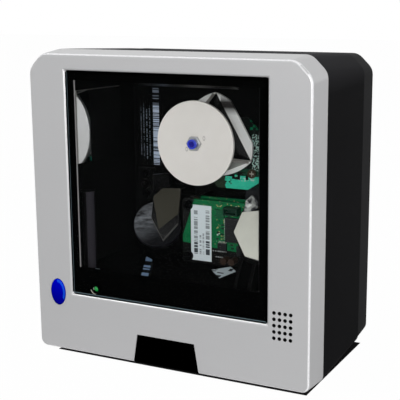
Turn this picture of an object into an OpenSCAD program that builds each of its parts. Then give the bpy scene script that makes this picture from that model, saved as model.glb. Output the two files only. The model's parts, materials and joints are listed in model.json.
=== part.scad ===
// Omnidirectional laser barcode scanner: a bezel with a tall window, a housing, a rear cover,
// and an optical tub that carries the mirror wheel, the pattern mirrors and the boards.
// Inside the modules y runs back from the front face and z up from the underside of the housing.

/* [Window] */
// Width of the window opening
window_w = 110; // [90:1:140]
// Height of the opening's lower edge above the underside
window_sill = 31.2; // [30:0.1:45]
// Width of the bezel on each side of the opening
side_margin = 21.5; // [20:0.5:30]
// Height of the bezel above the opening
top_margin = 8.3; // [7:0.1:20]
// Thickness of the glass
glass_t = 2.4; // [2:0.1:2.8]
// Gap between the glass and the opening
glass_gap = 0.5; // [0.2:0.1:1]
// Width of the black border at the sides
mask_side = 4.5; // [3:0.5:8]
// Width of the black border at the top
mask_top = 5; // [4:0.5:10]
// Width of the black border at the bottom
mask_bottom = 14; // [13:0.5:20]
// Thickness of the gasket that carries the border
gasket_t = 1; // [0.5:0.1:1.5]

/* [Shells] */
// Depth of the bezel from its front face to the seam
bezel_depth = 15.5; // [15:0.5:22]
// Depth of the housing from the seam to the rear joint
housing_depth = 61; // [60:1:90]
// Depth of the rear cover
cover_depth = 18; // [13:0.5:24]
// How far the bezel widens on each side by the seam
bezel_draft = 1.3; // [0:0.1:2]
// How far the housing narrows on each side by the rear joint
housing_draft = 3.2; // [0:0.1:4]
// How far the cover narrows on each side by its rear face
cover_taper = 1; // [1:0.1:4]
// Step between the housing and the cover
joint_step = 0.3; // [0.2:0.1:1]
// Wall of the bezel, housing and cover
wall = 2.5; // [2:0.1:3]
// Thickness of the bezel's front plate
front_t = 3; // [2.8:0.1:4]
// Leg of the flat across each top corner
corner_cut = 8; // [5:0.5:10]
// Radius where that flat meets the sides
corner_round = 7.2; // [5:0.1:9]
// Radius of the bottom corners
base_round = 4; // [3:0.1:6]
// Radius of the bezel's front edge
edge_round = 1.2; // [1:0.1:2.5]
// Radius of the cover's rear edge
rear_round = 1.6; // [1:0.1:4]
// Length of the lip inside each joint of the shells
lip_l = 3; // [2:0.5:5]
// Thickness of that lip
lip_t = 1.5; // [1:0.1:2]

/* [Front notch] */
// Width of the notch at its top
notch_top = 32.4; // [24:0.2:40]
// Width of the notch at the underside
notch_foot = 37.6; // [28:0.2:46]
// Height of the notch
notch_h = 15; // [10:0.5:18]

/* [Button] */
// Width of the oval button
button_w = 9; // [7:0.5:10]
// Height of the oval button
button_h = 14; // [10:0.5:15]
// How far the dome stands out of the front face
button_proud = 1; // [0.6:0.1:2]
// Stroke of the button
button_travel = 0.8; // [0.4:0.1:0.9]
// Distance of the button from the edge of the opening
button_out = 8.8; // [7.5:0.1:10]
// Height of the button and the speaker above the underside
control_z = 31.2; // [30:0.1:33]

/* [Speaker] */
// Columns of sound holes
grille_cols = 4; // [2:1:4]
// Rows of sound holes
grille_rows = 5; // [3:1:5]
// Distance between columns
grille_pitch_x = 2.8; // [2:0.1:2.9]
// Distance between rows
grille_pitch_z = 3.1; // [2:0.1:3.4]
// Diameter of a sound hole
grille_hole = 1.4; // [0.8:0.1:1.6]
// Distance of the grille's middle from the edge of the opening
grille_out = 7.9; // [7.8:0.1:10]
// Thickness of the speaker
speaker_t = 4; // [3:0.5:6]

/* [Mirror wheel] */
// Diameter of the two discs
wheel_d = 43.6; // [36:0.2:46]
// Clear height between the decoder boards and the wheel
wheel_foot_gap = 9; // [7:0.1:16]
// Clear height between the wheel and the upper border of the window
wheel_head_gap = 11.1; // [9:0.1:20]
// Distance between the two discs
wheel_gap = 21.4; // [16:0.2:23]
// Thickness of a disc
disc_t = 1.6; // [1:0.1:2]
// Diameter of the shaft
shaft_d = 3; // [2:0.5:4]
// Running clearance of the shaft in its bearing
shaft_play = 0.05; // [0.02:0.01:0.08]
// Thickness of a mirror facet
facet_t = 1.2; // [0.8:0.1:2]
// Tilts of the three facets
facet_tilts = [0.5, 16, 11.5];
// How far the rear plate's three corners stand out past the front disc
plate_out = 2; // [1:0.1:2.4]
// How far the rear plate's sides lie inside the front disc
plate_in = 1.3; // [0.8:0.1:1.8]
// Length of the stepped hub between the front disc and the facets
hub_l = 3.6; // [2:0.2:5]
// Height of the stator
core_h = 2.4; // [2:0.1:4]
// Diameter of the rotor
rotor_d = 27.6; // [24:0.2:34]

/* [Optics] */
// Thickness of the pattern mirrors
mirror_t = 2; // [1:0.1:2.5]
// Length of the side mirrors
side_mirror_l = 32; // [25:1:38]
// Height of the side mirrors
side_mirror_h = 37; // [30:1:40]
// Angle of the side mirrors to the side walls
side_mirror_turn = 11; // [5:1:14]
// Diameter of the collecting mirror
collector_d = 26; // [20:1:28]
// Radius of its hollow
collector_r = 50; // [40:1:120]
// Diameter of the laser barrel
laser_d = 8; // [6:0.5:9]
// Length of the laser barrel
laser_l = 17; // [14:1:18]

/* [Boards] */
// Thickness of the circuit boards
board_t = 1.6; // [1:0.1:2]
// Width of the decoder boards
decoder_w = 42; // [38:1:44]
// Height of the decoder boards
decoder_h = 34.5; // [33:0.5:35]
// Distance between the two decoder boards
decoder_gap = 6.4; // [5:0.2:9]
// Width of the motor board
motor_board_w = 30.4; // [29.6:0.2:34]
// Height of the motor board
motor_board_h = 38.5; // [37:0.5:42]

/* [Rear] */
// Distance between the two bracket inserts
insert_pitch = 50; // [40:1:70]
// Height of the bracket inserts above the underside
insert_z = 75; // [50:1:110]
// Diameter of the insert's hole
insert_bore = 3.3; // [2.5:0.1:4.2]
// Outer diameter of an insert
insert_d = 6; // [5.5:0.1:7]
// Length of an insert
insert_l = 8; // [5:0.5:9]
// Width of the interface socket
socket_w = 16; // [15:0.5:20]
// Height of the interface socket
socket_h = 13.6; // [13:0.1:16]
// Depth of the interface socket
socket_l = 16; // [15:0.5:17]

/* [Feet] */
// Diameter of a foot
foot_d = 10; // [6:0.5:16]
// How far the feet stand below the housing
foot_h = 1; // [0.6:0.1:3]
// How deep the feet sit in the housing
foot_sink = 0.8; // [0.4:0.1:1.2]

/* [Hidden] */
$fn = 48;

black = "#1b1b1d";
silver = "#b6b6b6";
steel = "#9a9da0";
brass = "#b98d45";
pcb_green = "#1d7a4c";
mirror_tone = "#c9cdd0";
cream = "#dedad0";

fit_gap = 0.15;
press_gap = 0.02;
cut_over = 1;
min_round = 0.5;
base_steps = 5;
corner_steps = 4;
edge_steps = 4;

// Shell sizes, from the window outwards
body_w = window_w + 2 * side_margin;
mask_foot = window_sill + mask_bottom;
floor_drop = 3.2;
floor_gap = 1.5;
tub_floor = mask_foot - floor_drop;
decoder_z = tub_floor + floor_gap;
wheel_r = wheel_d / 2;
wheel_z = decoder_z + decoder_h + wheel_foot_gap + wheel_r;
mask_head = wheel_z + wheel_r + wheel_head_gap;
window_top = mask_head + mask_top;
body_h = window_top + top_margin;
seam_y = bezel_depth;
joint_y = seam_y + housing_depth;
total_depth = joint_y + cover_depth;
front_hw = body_w / 2;
seam_hw = front_hw + bezel_draft;
joint_hw = seam_hw - housing_draft;
joint_top = body_h + bezel_draft - housing_draft;
cover_lift = 1.5;

// Optical tub
tub_wall = 2;
tub_hw = window_w / 2 + 4.5;
tub_in = tub_hw - tub_wall;
tub_front = front_t + gasket_t;
tub_back = joint_y - 5;
tub_face = tub_back - tub_wall;
mask_hw = window_w / 2 - mask_side;
mask_shift = 1.1;
tub_roof = window_top + 0.7;
gasket_over = 2.3;
ear_y = 9;
ear_t = 2.5;
ear_w = 7;
ear_hw = 4;
ear_x = tub_hw + 3.5;
ear_zs = [mask_foot + 17, mask_head - 14];

// Screws and posts
screw_r = 1.25;
screw_head_r = 2.4;
screw_head_t = 1.5;
screw_bite = 4.5;
post_r = 2.4;
case_screw_r = 1.5;
case_head_r = 2.9;
case_head_t = 2;
case_boss_r = 4;
case_boss_l = 9;
case_post_inset = 8.5;
case_zs = [10, body_h - 15];
cover_screw_inset = 9;
cover_screw_zs = [11, joint_top - 13];
cover_seat = 3;

// Button and switch
button_x = -(window_w / 2 + button_out);
button_play = 0.2;
flange_t = 1.2;
flange_over = 1;
stem_r = 2;
stem_end = front_t + button_play + flange_t + 2.6;
plunger_r = 1.6;
plunger_l = 2.6;
plunger_play = 0.15;
switch_w = 6;
switch_y = stem_end + 1.2;
switch_t = 3.3;
switch_board_y = switch_y + switch_t;
switch_board_w = 9.6;
switch_board_x = -(tub_hw + 0.6 + switch_board_w / 2);
switch_post_z = button_h / 2 + 4;

// Status light
led_r = 1.5;
led_flange_r = 1.9;
led_x = -(window_w / 2 - 12.5);
led_z = window_sill + 3.3;
led_board_y = tub_front + 4;
led_post_dx = 4;
led_post_z = window_sill - gasket_over - 4.4;

// Speaker
grille_x = window_w / 2 + grille_out;
speaker_w = 11;
speaker_h = 16;
speaker_x = window_w / 2 + gasket_over + fit_gap + speaker_w / 2;
cloth_t = 0.4;
rib_t = 1.2;
speaker_round = 1.5;

// Motor stack, measured forward from the tub's back wall
motor_standoff = 3.9;
bearing_flange_t = 1;
coil_over = 0.6;
rotor_play = 0.5;
cup_t = 1.2;
motor_board_y = tub_face - motor_standoff - board_t;
motor_board_foot = wheel_z - 28.3;
motor_board_top = motor_board_foot + motor_board_h;
motor_board_step = 6;
motor_board_cut = [6.5, 4.3];
motor_board_nip = [6.3, 7];
rotor_h = bearing_flange_t + core_h + coil_over + rotor_play + cup_t;
rear_disc_y = motor_board_y - rotor_h - disc_t;
front_disc_y = rear_disc_y - wheel_gap - disc_t;
shaft_r = shaft_d / 2;
shaft_end_gap = 0.3;
nut_t = 2;
nut_r = shaft_r + 2.6;
cap_r = shaft_r + 1;
cap_t = 1.8;
shaft_front = front_disc_y - nut_t - cap_t + 0.4;
bearing_r = shaft_r + 2.5;
cup_gap = 1;
magnet_t = 1.4;
air_gap = 0.8;
teeth = 6;
tooth_w = 2;
stator_r = rotor_d / 2 - cup_t - magnet_t - air_gap;
yoke_r = stator_r - 3.9;
coil_r0 = yoke_r + 0.3;
coil_w = 3.8;
stator_back = motor_board_y - bearing_flange_t;
motor_board_right = 22.3;
motor_board_left = motor_board_right - motor_board_w;
motor_screws = [
    [motor_board_left + 3.2, motor_board_foot + motor_board_step + 2.6],
    [motor_board_right - 3.8, motor_board_foot + 9]];

// Three facets on a rear plate that has three bowed sides
plate_corner = wheel_r + plate_out;
plate_side = wheel_r - plate_in;
plate_shift = (plate_corner * plate_corner - plate_side * plate_side) / (2 * plate_side - plate_corner);
hub_step = 1.8;
clamp_r = wheel_r - 2.6;
clamp_w = 5.8;
facet_margin = 0.3;
facet_split = 0.2;
facet_k = sqrt(3) * facet_t + facet_split;
facet_corner = plate_corner - facet_margin;
facet_in = (sqrt(3) * facet_k + sqrt(4 * facet_corner * facet_corner - facet_k * facet_k)) / 4;

// Mirror places: centre, tilt up, turn towards the axis, and outline
side_mirror_x = window_w / 2 - 2.8;
side_mirror_y = tub_front + 2;
side_mirror_z = wheel_z - 9.8;
side_boss_top = wheel_z - wheel_r - 3.8;
side_rib_t = 3;
side_boss_r = 4;
side_boss_y = side_mirror_y + 9.5;
lower_left_at = [-23, tub_face - 25.5, wheel_z - 36.8];
lower_left_turn = [-40, 0, 20];
lower_left_shape = [[-7.5, 6], [-3, 11], [7, 11], [7, -10], [0, -20], [-7.5, -7]];
lower_left_post = [3, 5];
lower_right_at = [side_mirror_x - 15.2, tub_front + 16, wheel_z - 40.8];
lower_right_turn = [-30, 0, -12];
lower_right_shape = [[-8.6, 10.7], [8, 14.4], [11, -11.6], [1.1, -10.8], [-9.8, 0]];
holder_shape = [[-11.6, 0.4], [-10.4, 11.6], [-8.8, 13], [9.6, 16.8], [13, -13.6], [0.4, -12.8]];
holder_t = 1.4;
web_t = 2;
web_xs = [-3, 5];
web_lift = 4;
top_mirror_at = [0, tub_front + 16, tub_roof - tub_wall - 5];
top_mirror_turn = [70, 0, 0];
top_mirror_w = 56;
top_mirror_l = 15;
top_rib_x = 18;
mirror_post_r = 3;

// Laser, fold mirror and detector
laser_y = tub_face - 12.5;
laser_z = wheel_z - wheel_r - 5;
laser_x = 30;
laser_wall = 2.5;
bracket_l = 9;
lens_r = 2.6;
lens_t = 1.2;
fold_at = [-33, laser_y, laser_z];
fold_turn = [0, 0, 50];
fold_w = 9;
collector_at = [21.5 - tub_in, tub_face - 12.7, mask_foot + 13];
collector_turn = [-32, 0, 30];
collector_rim = 4;
beam_r = 1.2;
detector_w = 10;
detector_h = 18;
detector_x = -(tub_in - 4.5 - detector_w / 2);
detector_z = wheel_z - 30.3;
detector_standoff = 2;
photodiode_r = 2.8;
photodiode_t = 2.4;

// Decoder boards, stacked on posts of the tub
power_standoff = 17.9;
power_board_y = tub_face - power_standoff - board_t;
decoder_y = power_board_y - decoder_gap - board_t;
decoder_x = 9;
decoder_inset = 3.5;
spacer_r = 2.6;
chip_t = 1.4;
connector_l = 5;
connector_h = 4;
connector_z = decoder_z + decoder_h - 6;
capacitor_r = 1.8;
capacitor_l = 5;
sticker_t = 0.2;
sticker_w = 12;
sticker_h = decoder_h - 4.5;
sticker_x = -1;
wall_sticker_w = 15;
wall_sticker_h = 45;
wall_sticker_x = 10.5 - tub_in;
wall_sticker_z = wheel_z + 1.7;

// Ribbon between the motor board and the power board
ribbon_w = 8;
ribbon_x = 17.5;
ribbon_t = 0.4;
ribbon_socket_w = 10;
ribbon_socket_h = 3;
ribbon_socket_l = 2.4;
ribbon_steps = 12;

// Interface socket on its own board in the rear cover
socket_z = 22;
socket_back = total_depth - 0.8;
socket_hole_w = 11.8;
socket_hole_h = 7.2;
socket_hole_l = 12;
latch_w = 6.4;
latch_h = (socket_h - socket_hole_h) / 2 - 0.7;
contact_count = 10;
contact_pitch = 1.02;
contact_w = 0.4;
interface_board_w = 32;
interface_board_l = 15;
interface_post_x = 12.5;
insert_boss_r = insert_d / 2 + 2.5;
foot_x = front_hw - 16;
foot_ys = [seam_y + 9, joint_y - 9];

// Shared shapes

module stand() {
    translate([0, -(total_depth - button_proud) / 2, foot_h]) children();
}

module slab(low, high) {
    translate(low) cube(high - low);
}

// Cylinder that runs back from y0 to y1
module rod(x, z, y0, y1, r) {
    translate([x, y0, z]) rotate([-90, 0, 0]) cylinder(h = y1 - y0, r = r);
}

// Flat outline in x and z, from y0 back to y1
module plate(y0, y1) {
    translate([0, y1, 0]) rotate([90, 0, 0]) linear_extrude(height = y1 - y0) children();
}

module rounded(w, h, r) {
    square([w - 2 * r, h], center = true);
    square([w, h - 2 * r], center = true);
    for (x = [-1, 1], z = [-1, 1]) translate([x * (w / 2 - r), z * (h / 2 - r)]) circle(r);
}

function arc(c, r, a0, a1, steps) =
    [for (i = [0:steps]) let (a = a0 + (a1 - a0) * i / steps) c + r * [cos(a), sin(a)]];

function oval(w, h, share = 1) =
    [for (i = [0:39]) share * [w / 2 * cos(9 * i), h / 2 * sin(9 * i)]];

// Outline of the shells: small radii at the foot, a rounded flat across each top corner
function shell_outline(hw, top, inset = 0, foot = 0) =
    let (
        x = hw - inset,
        z0 = foot + inset,
        z1 = top - inset,
        r = max(base_round - inset, min_round),
        q = max(corner_round - inset, min_round),
        t = corner_cut - inset * (2 - sqrt(2)) + q * tan(22.5))
    concat(
        arc([x - r, z0 + r], r, -90, 0, base_steps),
        arc([x - q, z1 - t], q, 0, 45, corner_steps),
        arc([x - t, z1 - q], q, 45, 90, corner_steps),
        arc([t - x, z1 - q], q, 90, 135, corner_steps),
        arc([q - x, z1 - t], q, 135, 180, corner_steps),
        arc([r - x, z0 + r], r, 180, 270, base_steps));

// Solid through a row of outlines, each given as [y, points]
module loft(rows) {
    m = len(rows[0][1]);
    last = len(rows) - 1;
    points = [for (row = rows) for (p = row[1]) [p[0], row[0], p[1]]];
    front = [[for (i = [0:m - 1]) m - 1 - i]];
    back = [[for (i = [0:m - 1]) last * m + i]];
    sides = [for (k = [0:last - 1]) for (i = [0:m - 1]) let (j = (i + 1) % m)
        each [[k * m + i, k * m + j, (k + 1) * m + j], [k * m + i, (k + 1) * m + j, (k + 1) * m + i]]];
    polyhedron(points, concat(front, sides, back), convexity = 6);
}

function bezel_row(y, inset) =
    let (grow = bezel_draft * y / bezel_depth)
    [y, shell_outline(front_hw + grow, body_h + grow, inset)];

function housing_row(y, inset) =
    let (grow = bezel_draft - housing_draft * (y - seam_y) / housing_depth)
    [y, shell_outline(front_hw + grow, body_h + grow, inset)];

function cover_row(y, inset) =
    let (
        share = (y - joint_y) / cover_depth,
        shrink = joint_step + (cover_taper - joint_step) * share,
        foot = joint_step + (cover_lift - joint_step) * share)
    [y, shell_outline(joint_hw - shrink, joint_top - shrink, inset, foot)];

module bezel_body() {
    loft(concat(
        [for (i = [0:edge_steps]) let (a = 90 * i / edge_steps)
            bezel_row(edge_round * (1 - cos(a)), edge_round * (1 - sin(a)))],
        [bezel_row(seam_y, 0)]));
}

// Post with a blind pilot hole that opens towards the back
module post(x, z, y0, y1, r, pilot_r, bite) {
    difference() {
        rod(x, z, y0, y1, r);
        rod(x, z, y1 - bite - cut_over, y1 + cut_over, pilot_r);
    }
}

// Pan-head screw whose head sits against seat_y, with its shank towards the front
module screw(x, z, seat_y, bite, r, head_r, head_t) {
    rod(x, z, seat_y - bite, seat_y + head_t / 2, r);
    rod(x, z, seat_y, seat_y + head_t, head_r);
}

// The same screw turned round, with its shank towards the back
module back_screw(x, z, seat_y, bite, r, head_r, head_t) {
    rod(x, z, seat_y - head_t / 2, seat_y + bite, r);
    rod(x, z, seat_y - head_t, seat_y, head_r);
}

// Places a mirror's face at y = 0, with its back at y = mirror_t
module mirror_at(at, turn) {
    translate(at) rotate(turn) children();
}

// Keeps only what lies behind a mirror's back face
module behind_mirror(at, turn, back) {
    difference() {
        children();
        mirror_at(at, turn) translate([-60, back - 60, -60]) cube([120, 60, 120]);
    }
}

// Post from the tub's back wall to the back of a mirror, at a point given in the mirror's own plane
module mirror_post(at, turn, spot, back) {
    cx = cos(turn[2]);
    sx = sin(turn[2]);
    lift = cos(turn[0]);
    lean = sin(turn[0]);
    x = at[0] + spot[0] * cx + spot[1] * lean * sx;
    z = at[2] + spot[1] * lift;
    behind_mirror(at, turn, back) rod(x, z, at[1] - 20, tub_face + cut_over, mirror_post_r);
}

// Window side

module front_bezel() color(silver) stand() {
    difference() {
        bezel_body();
        loft([bezel_row(front_t, wall), bezel_row(seam_y + cut_over, wall)]);
        slab([-window_w / 2, -cut_over, window_sill], [window_w / 2, front_t + cut_over, window_top]);
        plate(-cut_over, front_t + cut_over) notch_outline(0);
        translate([button_x, 0, control_z]) plate(-cut_over, front_t + cut_over)
            polygon(oval(button_w + 2 * button_play, button_h + 2 * button_play));
        for (c = [0:grille_cols - 1], r = [0:grille_rows - 1])
            rod(grille_x + (c - (grille_cols - 1) / 2) * grille_pitch_x,
                control_z + (r - (grille_rows - 1) / 2) * grille_pitch_z,
                -cut_over, front_t + cut_over, grille_hole / 2);
    }
    for (x = [-1, 1], z = case_zs)
        post(x * (front_hw - case_post_inset), z, front_t - cut_over, seam_y, case_boss_r - 0.5,
            case_screw_r + press_gap, screw_bite + 0.5);
    for (x = [-1, 1], z = ear_zs)
        post(x * ear_x, z, front_t - cut_over, ear_y, post_r, screw_r + press_gap, screw_bite);
    for (z = [-1, 1])
        post(switch_board_x, control_z + z * switch_post_z, front_t - cut_over, switch_board_y, post_r,
            screw_r + press_gap, screw_bite);
    for (x = [-1, 1])
        post(led_x + x * led_post_dx, led_post_z, front_t - cut_over, led_board_y, post_r,
            screw_r + press_gap, screw_bite);
    speaker_ribs();
}

module speaker_ribs() {
    x0 = tub_hw + 1;
    x1 = speaker_x + speaker_w / 2 + fit_gap;
    z0 = control_z - speaker_h / 2 - fit_gap;
    z1 = control_z + speaker_h / 2 + fit_gap;
    deep = front_t + cloth_t + speaker_t;
    slab([x0, front_t - cut_over, z1], [x1 + rib_t, deep, z1 + rib_t]);
    slab([x0, front_t - cut_over, z0 - rib_t], [x1 + rib_t, deep, z0]);
    slab([x1, front_t - cut_over, z0 - rib_t], [x1 + rib_t, deep, z1 + rib_t]);
}

module notch_outline(gap) {
    polygon([[-notch_foot / 2 + gap, -cut_over], [notch_foot / 2 - gap, -cut_over],
        [notch_top / 2 - gap, notch_h - gap], [-notch_top / 2 + gap, notch_h - gap]]);
}

module window_glass() color("#2a2d2e", 0.35) stand() {
    slab([-window_w / 2 + glass_gap, front_t - glass_t, window_sill + glass_gap],
        [window_w / 2 - glass_gap, front_t, window_top - glass_gap]);
}

module window_gasket() color("#0c0c0d") stand() {
    difference() {
        union() {
            slab([-tub_hw, front_t, tub_floor - tub_wall], [tub_hw, tub_front, tub_roof + tub_wall / 2]);
            slab([-window_w / 2 - gasket_over, front_t, window_sill - gasket_over],
                [window_w / 2 + gasket_over, tub_front, tub_floor]);
        }
        slab([-mask_hw - mask_shift, front_t - cut_over, mask_foot],
            [mask_hw - mask_shift, tub_front + cut_over, mask_head]);
        rod(led_x, led_z, front_t - cut_over, tub_front + cut_over, led_r + press_gap);
    }
}

module notch_insert() color(black) stand() {
    intersection() {
        bezel_body();
        plate(-cut_over, front_t) notch_outline(fit_gap);
    }
    slab([-notch_top / 2 - 2, front_t, wall + fit_gap], [notch_top / 2 + 2, front_t + 1.2, notch_h + 2]);
}

// Shells

module main_housing() color(black) stand() {
    difference() {
        loft([housing_row(seam_y, 0), housing_row(joint_y, 0)]);
        loft([housing_row(seam_y - cut_over, wall), housing_row(joint_y + cut_over, wall)]);
        for (x = [-1, 1], y = foot_ys)
            translate([x * foot_x, y, -cut_over]) cylinder(h = foot_sink + cut_over, r = foot_d / 2);
    }
    difference() {
        union() {
            loft([bezel_row(seam_y - lip_l, wall + fit_gap), bezel_row(seam_y, wall + fit_gap)]);
            loft([housing_row(seam_y, wall / 2), housing_row(seam_y + lip_l, wall / 2)]);
        }
        loft([bezel_row(seam_y - lip_l - cut_over, wall + lip_t), bezel_row(seam_y, wall + lip_t)]);
        loft([housing_row(seam_y, wall + lip_t), housing_row(seam_y + lip_l + cut_over, wall + lip_t)]);
    }
    for (x = [-1, 1]) {
        for (z = case_zs) difference() {
            union() {
                rod(x * (front_hw - case_post_inset), z, seam_y, seam_y + case_boss_l, case_boss_r);
                wing(x, z, front_hw - case_post_inset, seam_hw - wall / 2, seam_y + lip_l,
                    seam_y + case_boss_l);
            }
            rod(x * (front_hw - case_post_inset), z, seam_y - cut_over,
                seam_y + case_boss_l + cut_over, case_screw_r + fit_gap);
        }
        for (z = cover_screw_zs) difference() {
            union() {
                rod(x * (joint_hw - cover_screw_inset), z, joint_y - lip_l - case_boss_l, joint_y,
                    case_boss_r);
                wing(x, z, joint_hw - cover_screw_inset, joint_hw - wall / 2,
                    joint_y - lip_l - case_boss_l, joint_y - lip_l - fit_gap);
            }
            rod(x * (joint_hw - cover_screw_inset), z, joint_y - case_boss_l, joint_y + cut_over,
                case_screw_r + press_gap);
        }
    }
}

// Web from a screw boss out to the side wall
module wing(side, z, x0, x1, y0, y1) {
    slab([min(side * x0, side * x1), y0, z - rib_t], [max(side * x0, side * x1), y1, z + rib_t]);
}

module rear_cover() color(black) stand() {
    rear_y = total_depth - wall;
    difference() {
        union() {
            difference() {
                loft(concat(
                    [cover_row(joint_y, 0)],
                    [for (i = [0:edge_steps]) let (a = 90 * i / edge_steps)
                        cover_row(total_depth - rear_round * (1 - sin(a)), rear_round * (1 - cos(a)))]));
                loft([cover_row(joint_y - cut_over, wall), cover_row(rear_y, wall)]);
            }
            difference() {
                loft([housing_row(joint_y - lip_l, wall + fit_gap),
                    housing_row(joint_y + lip_l, wall + fit_gap)]);
                loft([housing_row(joint_y - lip_l - cut_over, wall + lip_t + joint_step),
                    housing_row(joint_y + lip_l + cut_over, wall + lip_t + joint_step)]);
            }
            for (x = [-1, 1], z = cover_screw_zs)
                rod(x * (joint_hw - cover_screw_inset), z, joint_y, rear_y + wall / 2, case_boss_r + 0.8);
            for (x = [-1, 1])
                rod(x * insert_pitch / 2, insert_z, total_depth - insert_l - wall, rear_y + wall / 2,
                    insert_boss_r);
            for (x = [-1, 1])
                translate([x * interface_post_x, interface_screw_y(), wall])
                    cylinder(h = interface_z() - wall, r = post_r);
        }
        for (x = [-1, 1], z = cover_screw_zs) {
            rod(x * (joint_hw - cover_screw_inset), z, joint_y - cut_over, total_depth + cut_over,
                case_screw_r + fit_gap);
            rod(x * (joint_hw - cover_screw_inset), z, joint_y + cover_seat, total_depth + cut_over,
                case_head_r + fit_gap);
        }
        for (x = [-1, 1])
            rod(x * insert_pitch / 2, insert_z, total_depth - insert_l, total_depth + cut_over,
                insert_d / 2 + press_gap);
        slab([-socket_w / 2 - fit_gap, rear_y - cut_over, socket_z - socket_h / 2 - fit_gap],
            [socket_w / 2 + fit_gap, total_depth + cut_over, socket_z + socket_h / 2 + fit_gap]);
        for (x = [-1, 1])
            translate([x * interface_post_x, interface_screw_y(), interface_z() - screw_bite])
                cylinder(h = screw_bite + cut_over, r = screw_r + press_gap);
        for (x = [-1, 1], z = cover_screw_zs)
            rod(x * (joint_hw - cover_screw_inset), z, joint_y - lip_l - cut_over, joint_y,
                case_boss_r + fit_gap);
    }
}

function interface_z() = socket_z - socket_h / 2 - board_t;
function interface_screw_y() = joint_y + cover_depth / 2 - 1;

module rubber_feet() color("#2a2a2a") stand() {
    for (x = [-1, 1], y = foot_ys)
        translate([x * foot_x, y, -foot_h]) {
            cylinder(h = foot_h / 2, r1 = foot_d / 2 - 0.6, r2 = foot_d / 2 - fit_gap);
            translate([0, 0, foot_h / 2]) cylinder(h = foot_h / 2 + foot_sink, r = foot_d / 2 - fit_gap);
        }
}

module housing_screws() color(steel) stand() {
    for (x = [-1, 1], z = case_zs)
        screw(x * (front_hw - case_post_inset), z, seam_y + case_boss_l, case_boss_l + screw_bite,
            case_screw_r, case_head_r, case_head_t);
}

module cover_screws() color(steel) stand() {
    for (x = [-1, 1], z = cover_screw_zs)
        screw(x * (joint_hw - cover_screw_inset), z, joint_y + cover_seat, cover_seat + screw_bite,
            case_screw_r, case_head_r, case_head_t);
}

module bracket_inserts() color(brass) stand() {
    for (x = [-1, 1]) difference() {
        rod(x * insert_pitch / 2, insert_z, total_depth - insert_l, total_depth, insert_d / 2);
        rod(x * insert_pitch / 2, insert_z, total_depth - insert_l - cut_over, total_depth + cut_over,
            insert_bore / 2);
    }
}

// Interface socket: an open jack with a slot for the plug's latch and a row of contacts

module interface_socket() color("#232326") stand() {
    difference() {
        slab([-socket_w / 2, socket_back - socket_l, socket_z - socket_h / 2],
            [socket_w / 2, socket_back, socket_z + socket_h / 2]);
        slab([-socket_hole_w / 2, socket_back - socket_hole_l, socket_z - socket_hole_h / 2],
            [socket_hole_w / 2, socket_back + cut_over, socket_z + socket_hole_h / 2]);
        slab([-latch_w / 2, socket_back - socket_hole_l, socket_z - socket_hole_h / 2 - latch_h],
            [latch_w / 2, socket_back + cut_over, socket_z]);
    }
}

module socket_contacts() color(brass) stand() {
    for (i = [0:contact_count - 1]) {
        x = (i - (contact_count - 1) / 2) * contact_pitch;
        slab([x - contact_w / 2, socket_back - socket_hole_l, socket_z + socket_hole_h / 2 - 1.2],
            [x + contact_w / 2, socket_back - 3, socket_z + socket_hole_h / 2]);
    }
}

module interface_board() color(pcb_green) stand() {
    y1 = socket_back - wall;
    difference() {
        slab([-interface_board_w / 2, y1 - interface_board_l, interface_z()],
            [interface_board_w / 2, y1, interface_z() + board_t]);
        for (x = [-1, 1])
            translate([x * interface_post_x, interface_screw_y(), interface_z() - cut_over])
                cylinder(h = board_t + 2 * cut_over, r = screw_r + fit_gap);
    }
}

// Button, switch and status light

module button_cap() color("#0a1fc0") stand() translate([button_x, 0, control_z]) {
    loft(concat(
        [for (i = [0:6]) let (a = 12 + 78 * i / 6)
            [-button_proud * cos(a) / cos(12), oval(button_w, button_h, sin(a))]],
        [[front_t + button_play + flange_t / 2, oval(button_w, button_h)]]));
    plate(front_t + button_play, front_t + button_play + flange_t)
        polygon(oval(button_w + 2 * flange_over, button_h + 2 * flange_over));
    rod(0, 0, front_t + button_play + flange_t, stem_end, stem_r);
}

module switch_plunger() color("#d8d4c8") stand() {
    rod(button_x, control_z, stem_end, stem_end + plunger_l, plunger_r);
}

module button_switch() color("#2b2b2e") stand() difference() {
    slab([button_x - switch_w / 2, switch_y, control_z - switch_w / 2],
        [button_x + switch_w / 2, switch_board_y, control_z + switch_w / 2]);
    rod(button_x, control_z, switch_y - cut_over, stem_end + plunger_l + button_travel + 0.3,
        plunger_r + plunger_play);
}

module switch_board() color(pcb_green) stand() difference() {
    translate([switch_board_x, 0, control_z]) plate(switch_board_y, switch_board_y + board_t)
        rounded(switch_board_w, 2 * switch_post_z + 2 * post_r + 1, 1);
    for (z = [-1, 1])
        rod(switch_board_x, control_z + z * switch_post_z, switch_board_y - cut_over,
            switch_board_y + board_t + cut_over, screw_r + fit_gap);
}

module status_led() color("#39c46a") stand() {
    rod(led_x, led_z, tub_front + 0.6, led_board_y, led_r);
    translate([led_x, tub_front + 0.6, led_z]) sphere(led_r - 0.001);
    rod(led_x, led_z, led_board_y - 0.8, led_board_y, led_flange_r);
}

module led_board() color(pcb_green) stand() difference() {
    slab([led_x - led_post_dx - post_r - 0.6, led_board_y, led_post_z - post_r],
        [led_x + led_post_dx + post_r + 0.6, led_board_y + board_t, led_z + led_flange_r + 1]);
    for (x = [-1, 1])
        rod(led_x + x * led_post_dx, led_post_z, led_board_y - cut_over, led_board_y + board_t + cut_over,
            screw_r + fit_gap);
}

module speaker() color("#3a3a3c") stand() translate([speaker_x, 0, control_z]) difference() {
    plate(front_t + cloth_t, front_t + cloth_t + speaker_t) rounded(speaker_w, speaker_h, speaker_round);
    plate(front_t + cloth_t - cut_over, front_t + cloth_t + 0.6)
        rounded(speaker_w - 2, speaker_h - 2, speaker_round);
}

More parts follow.
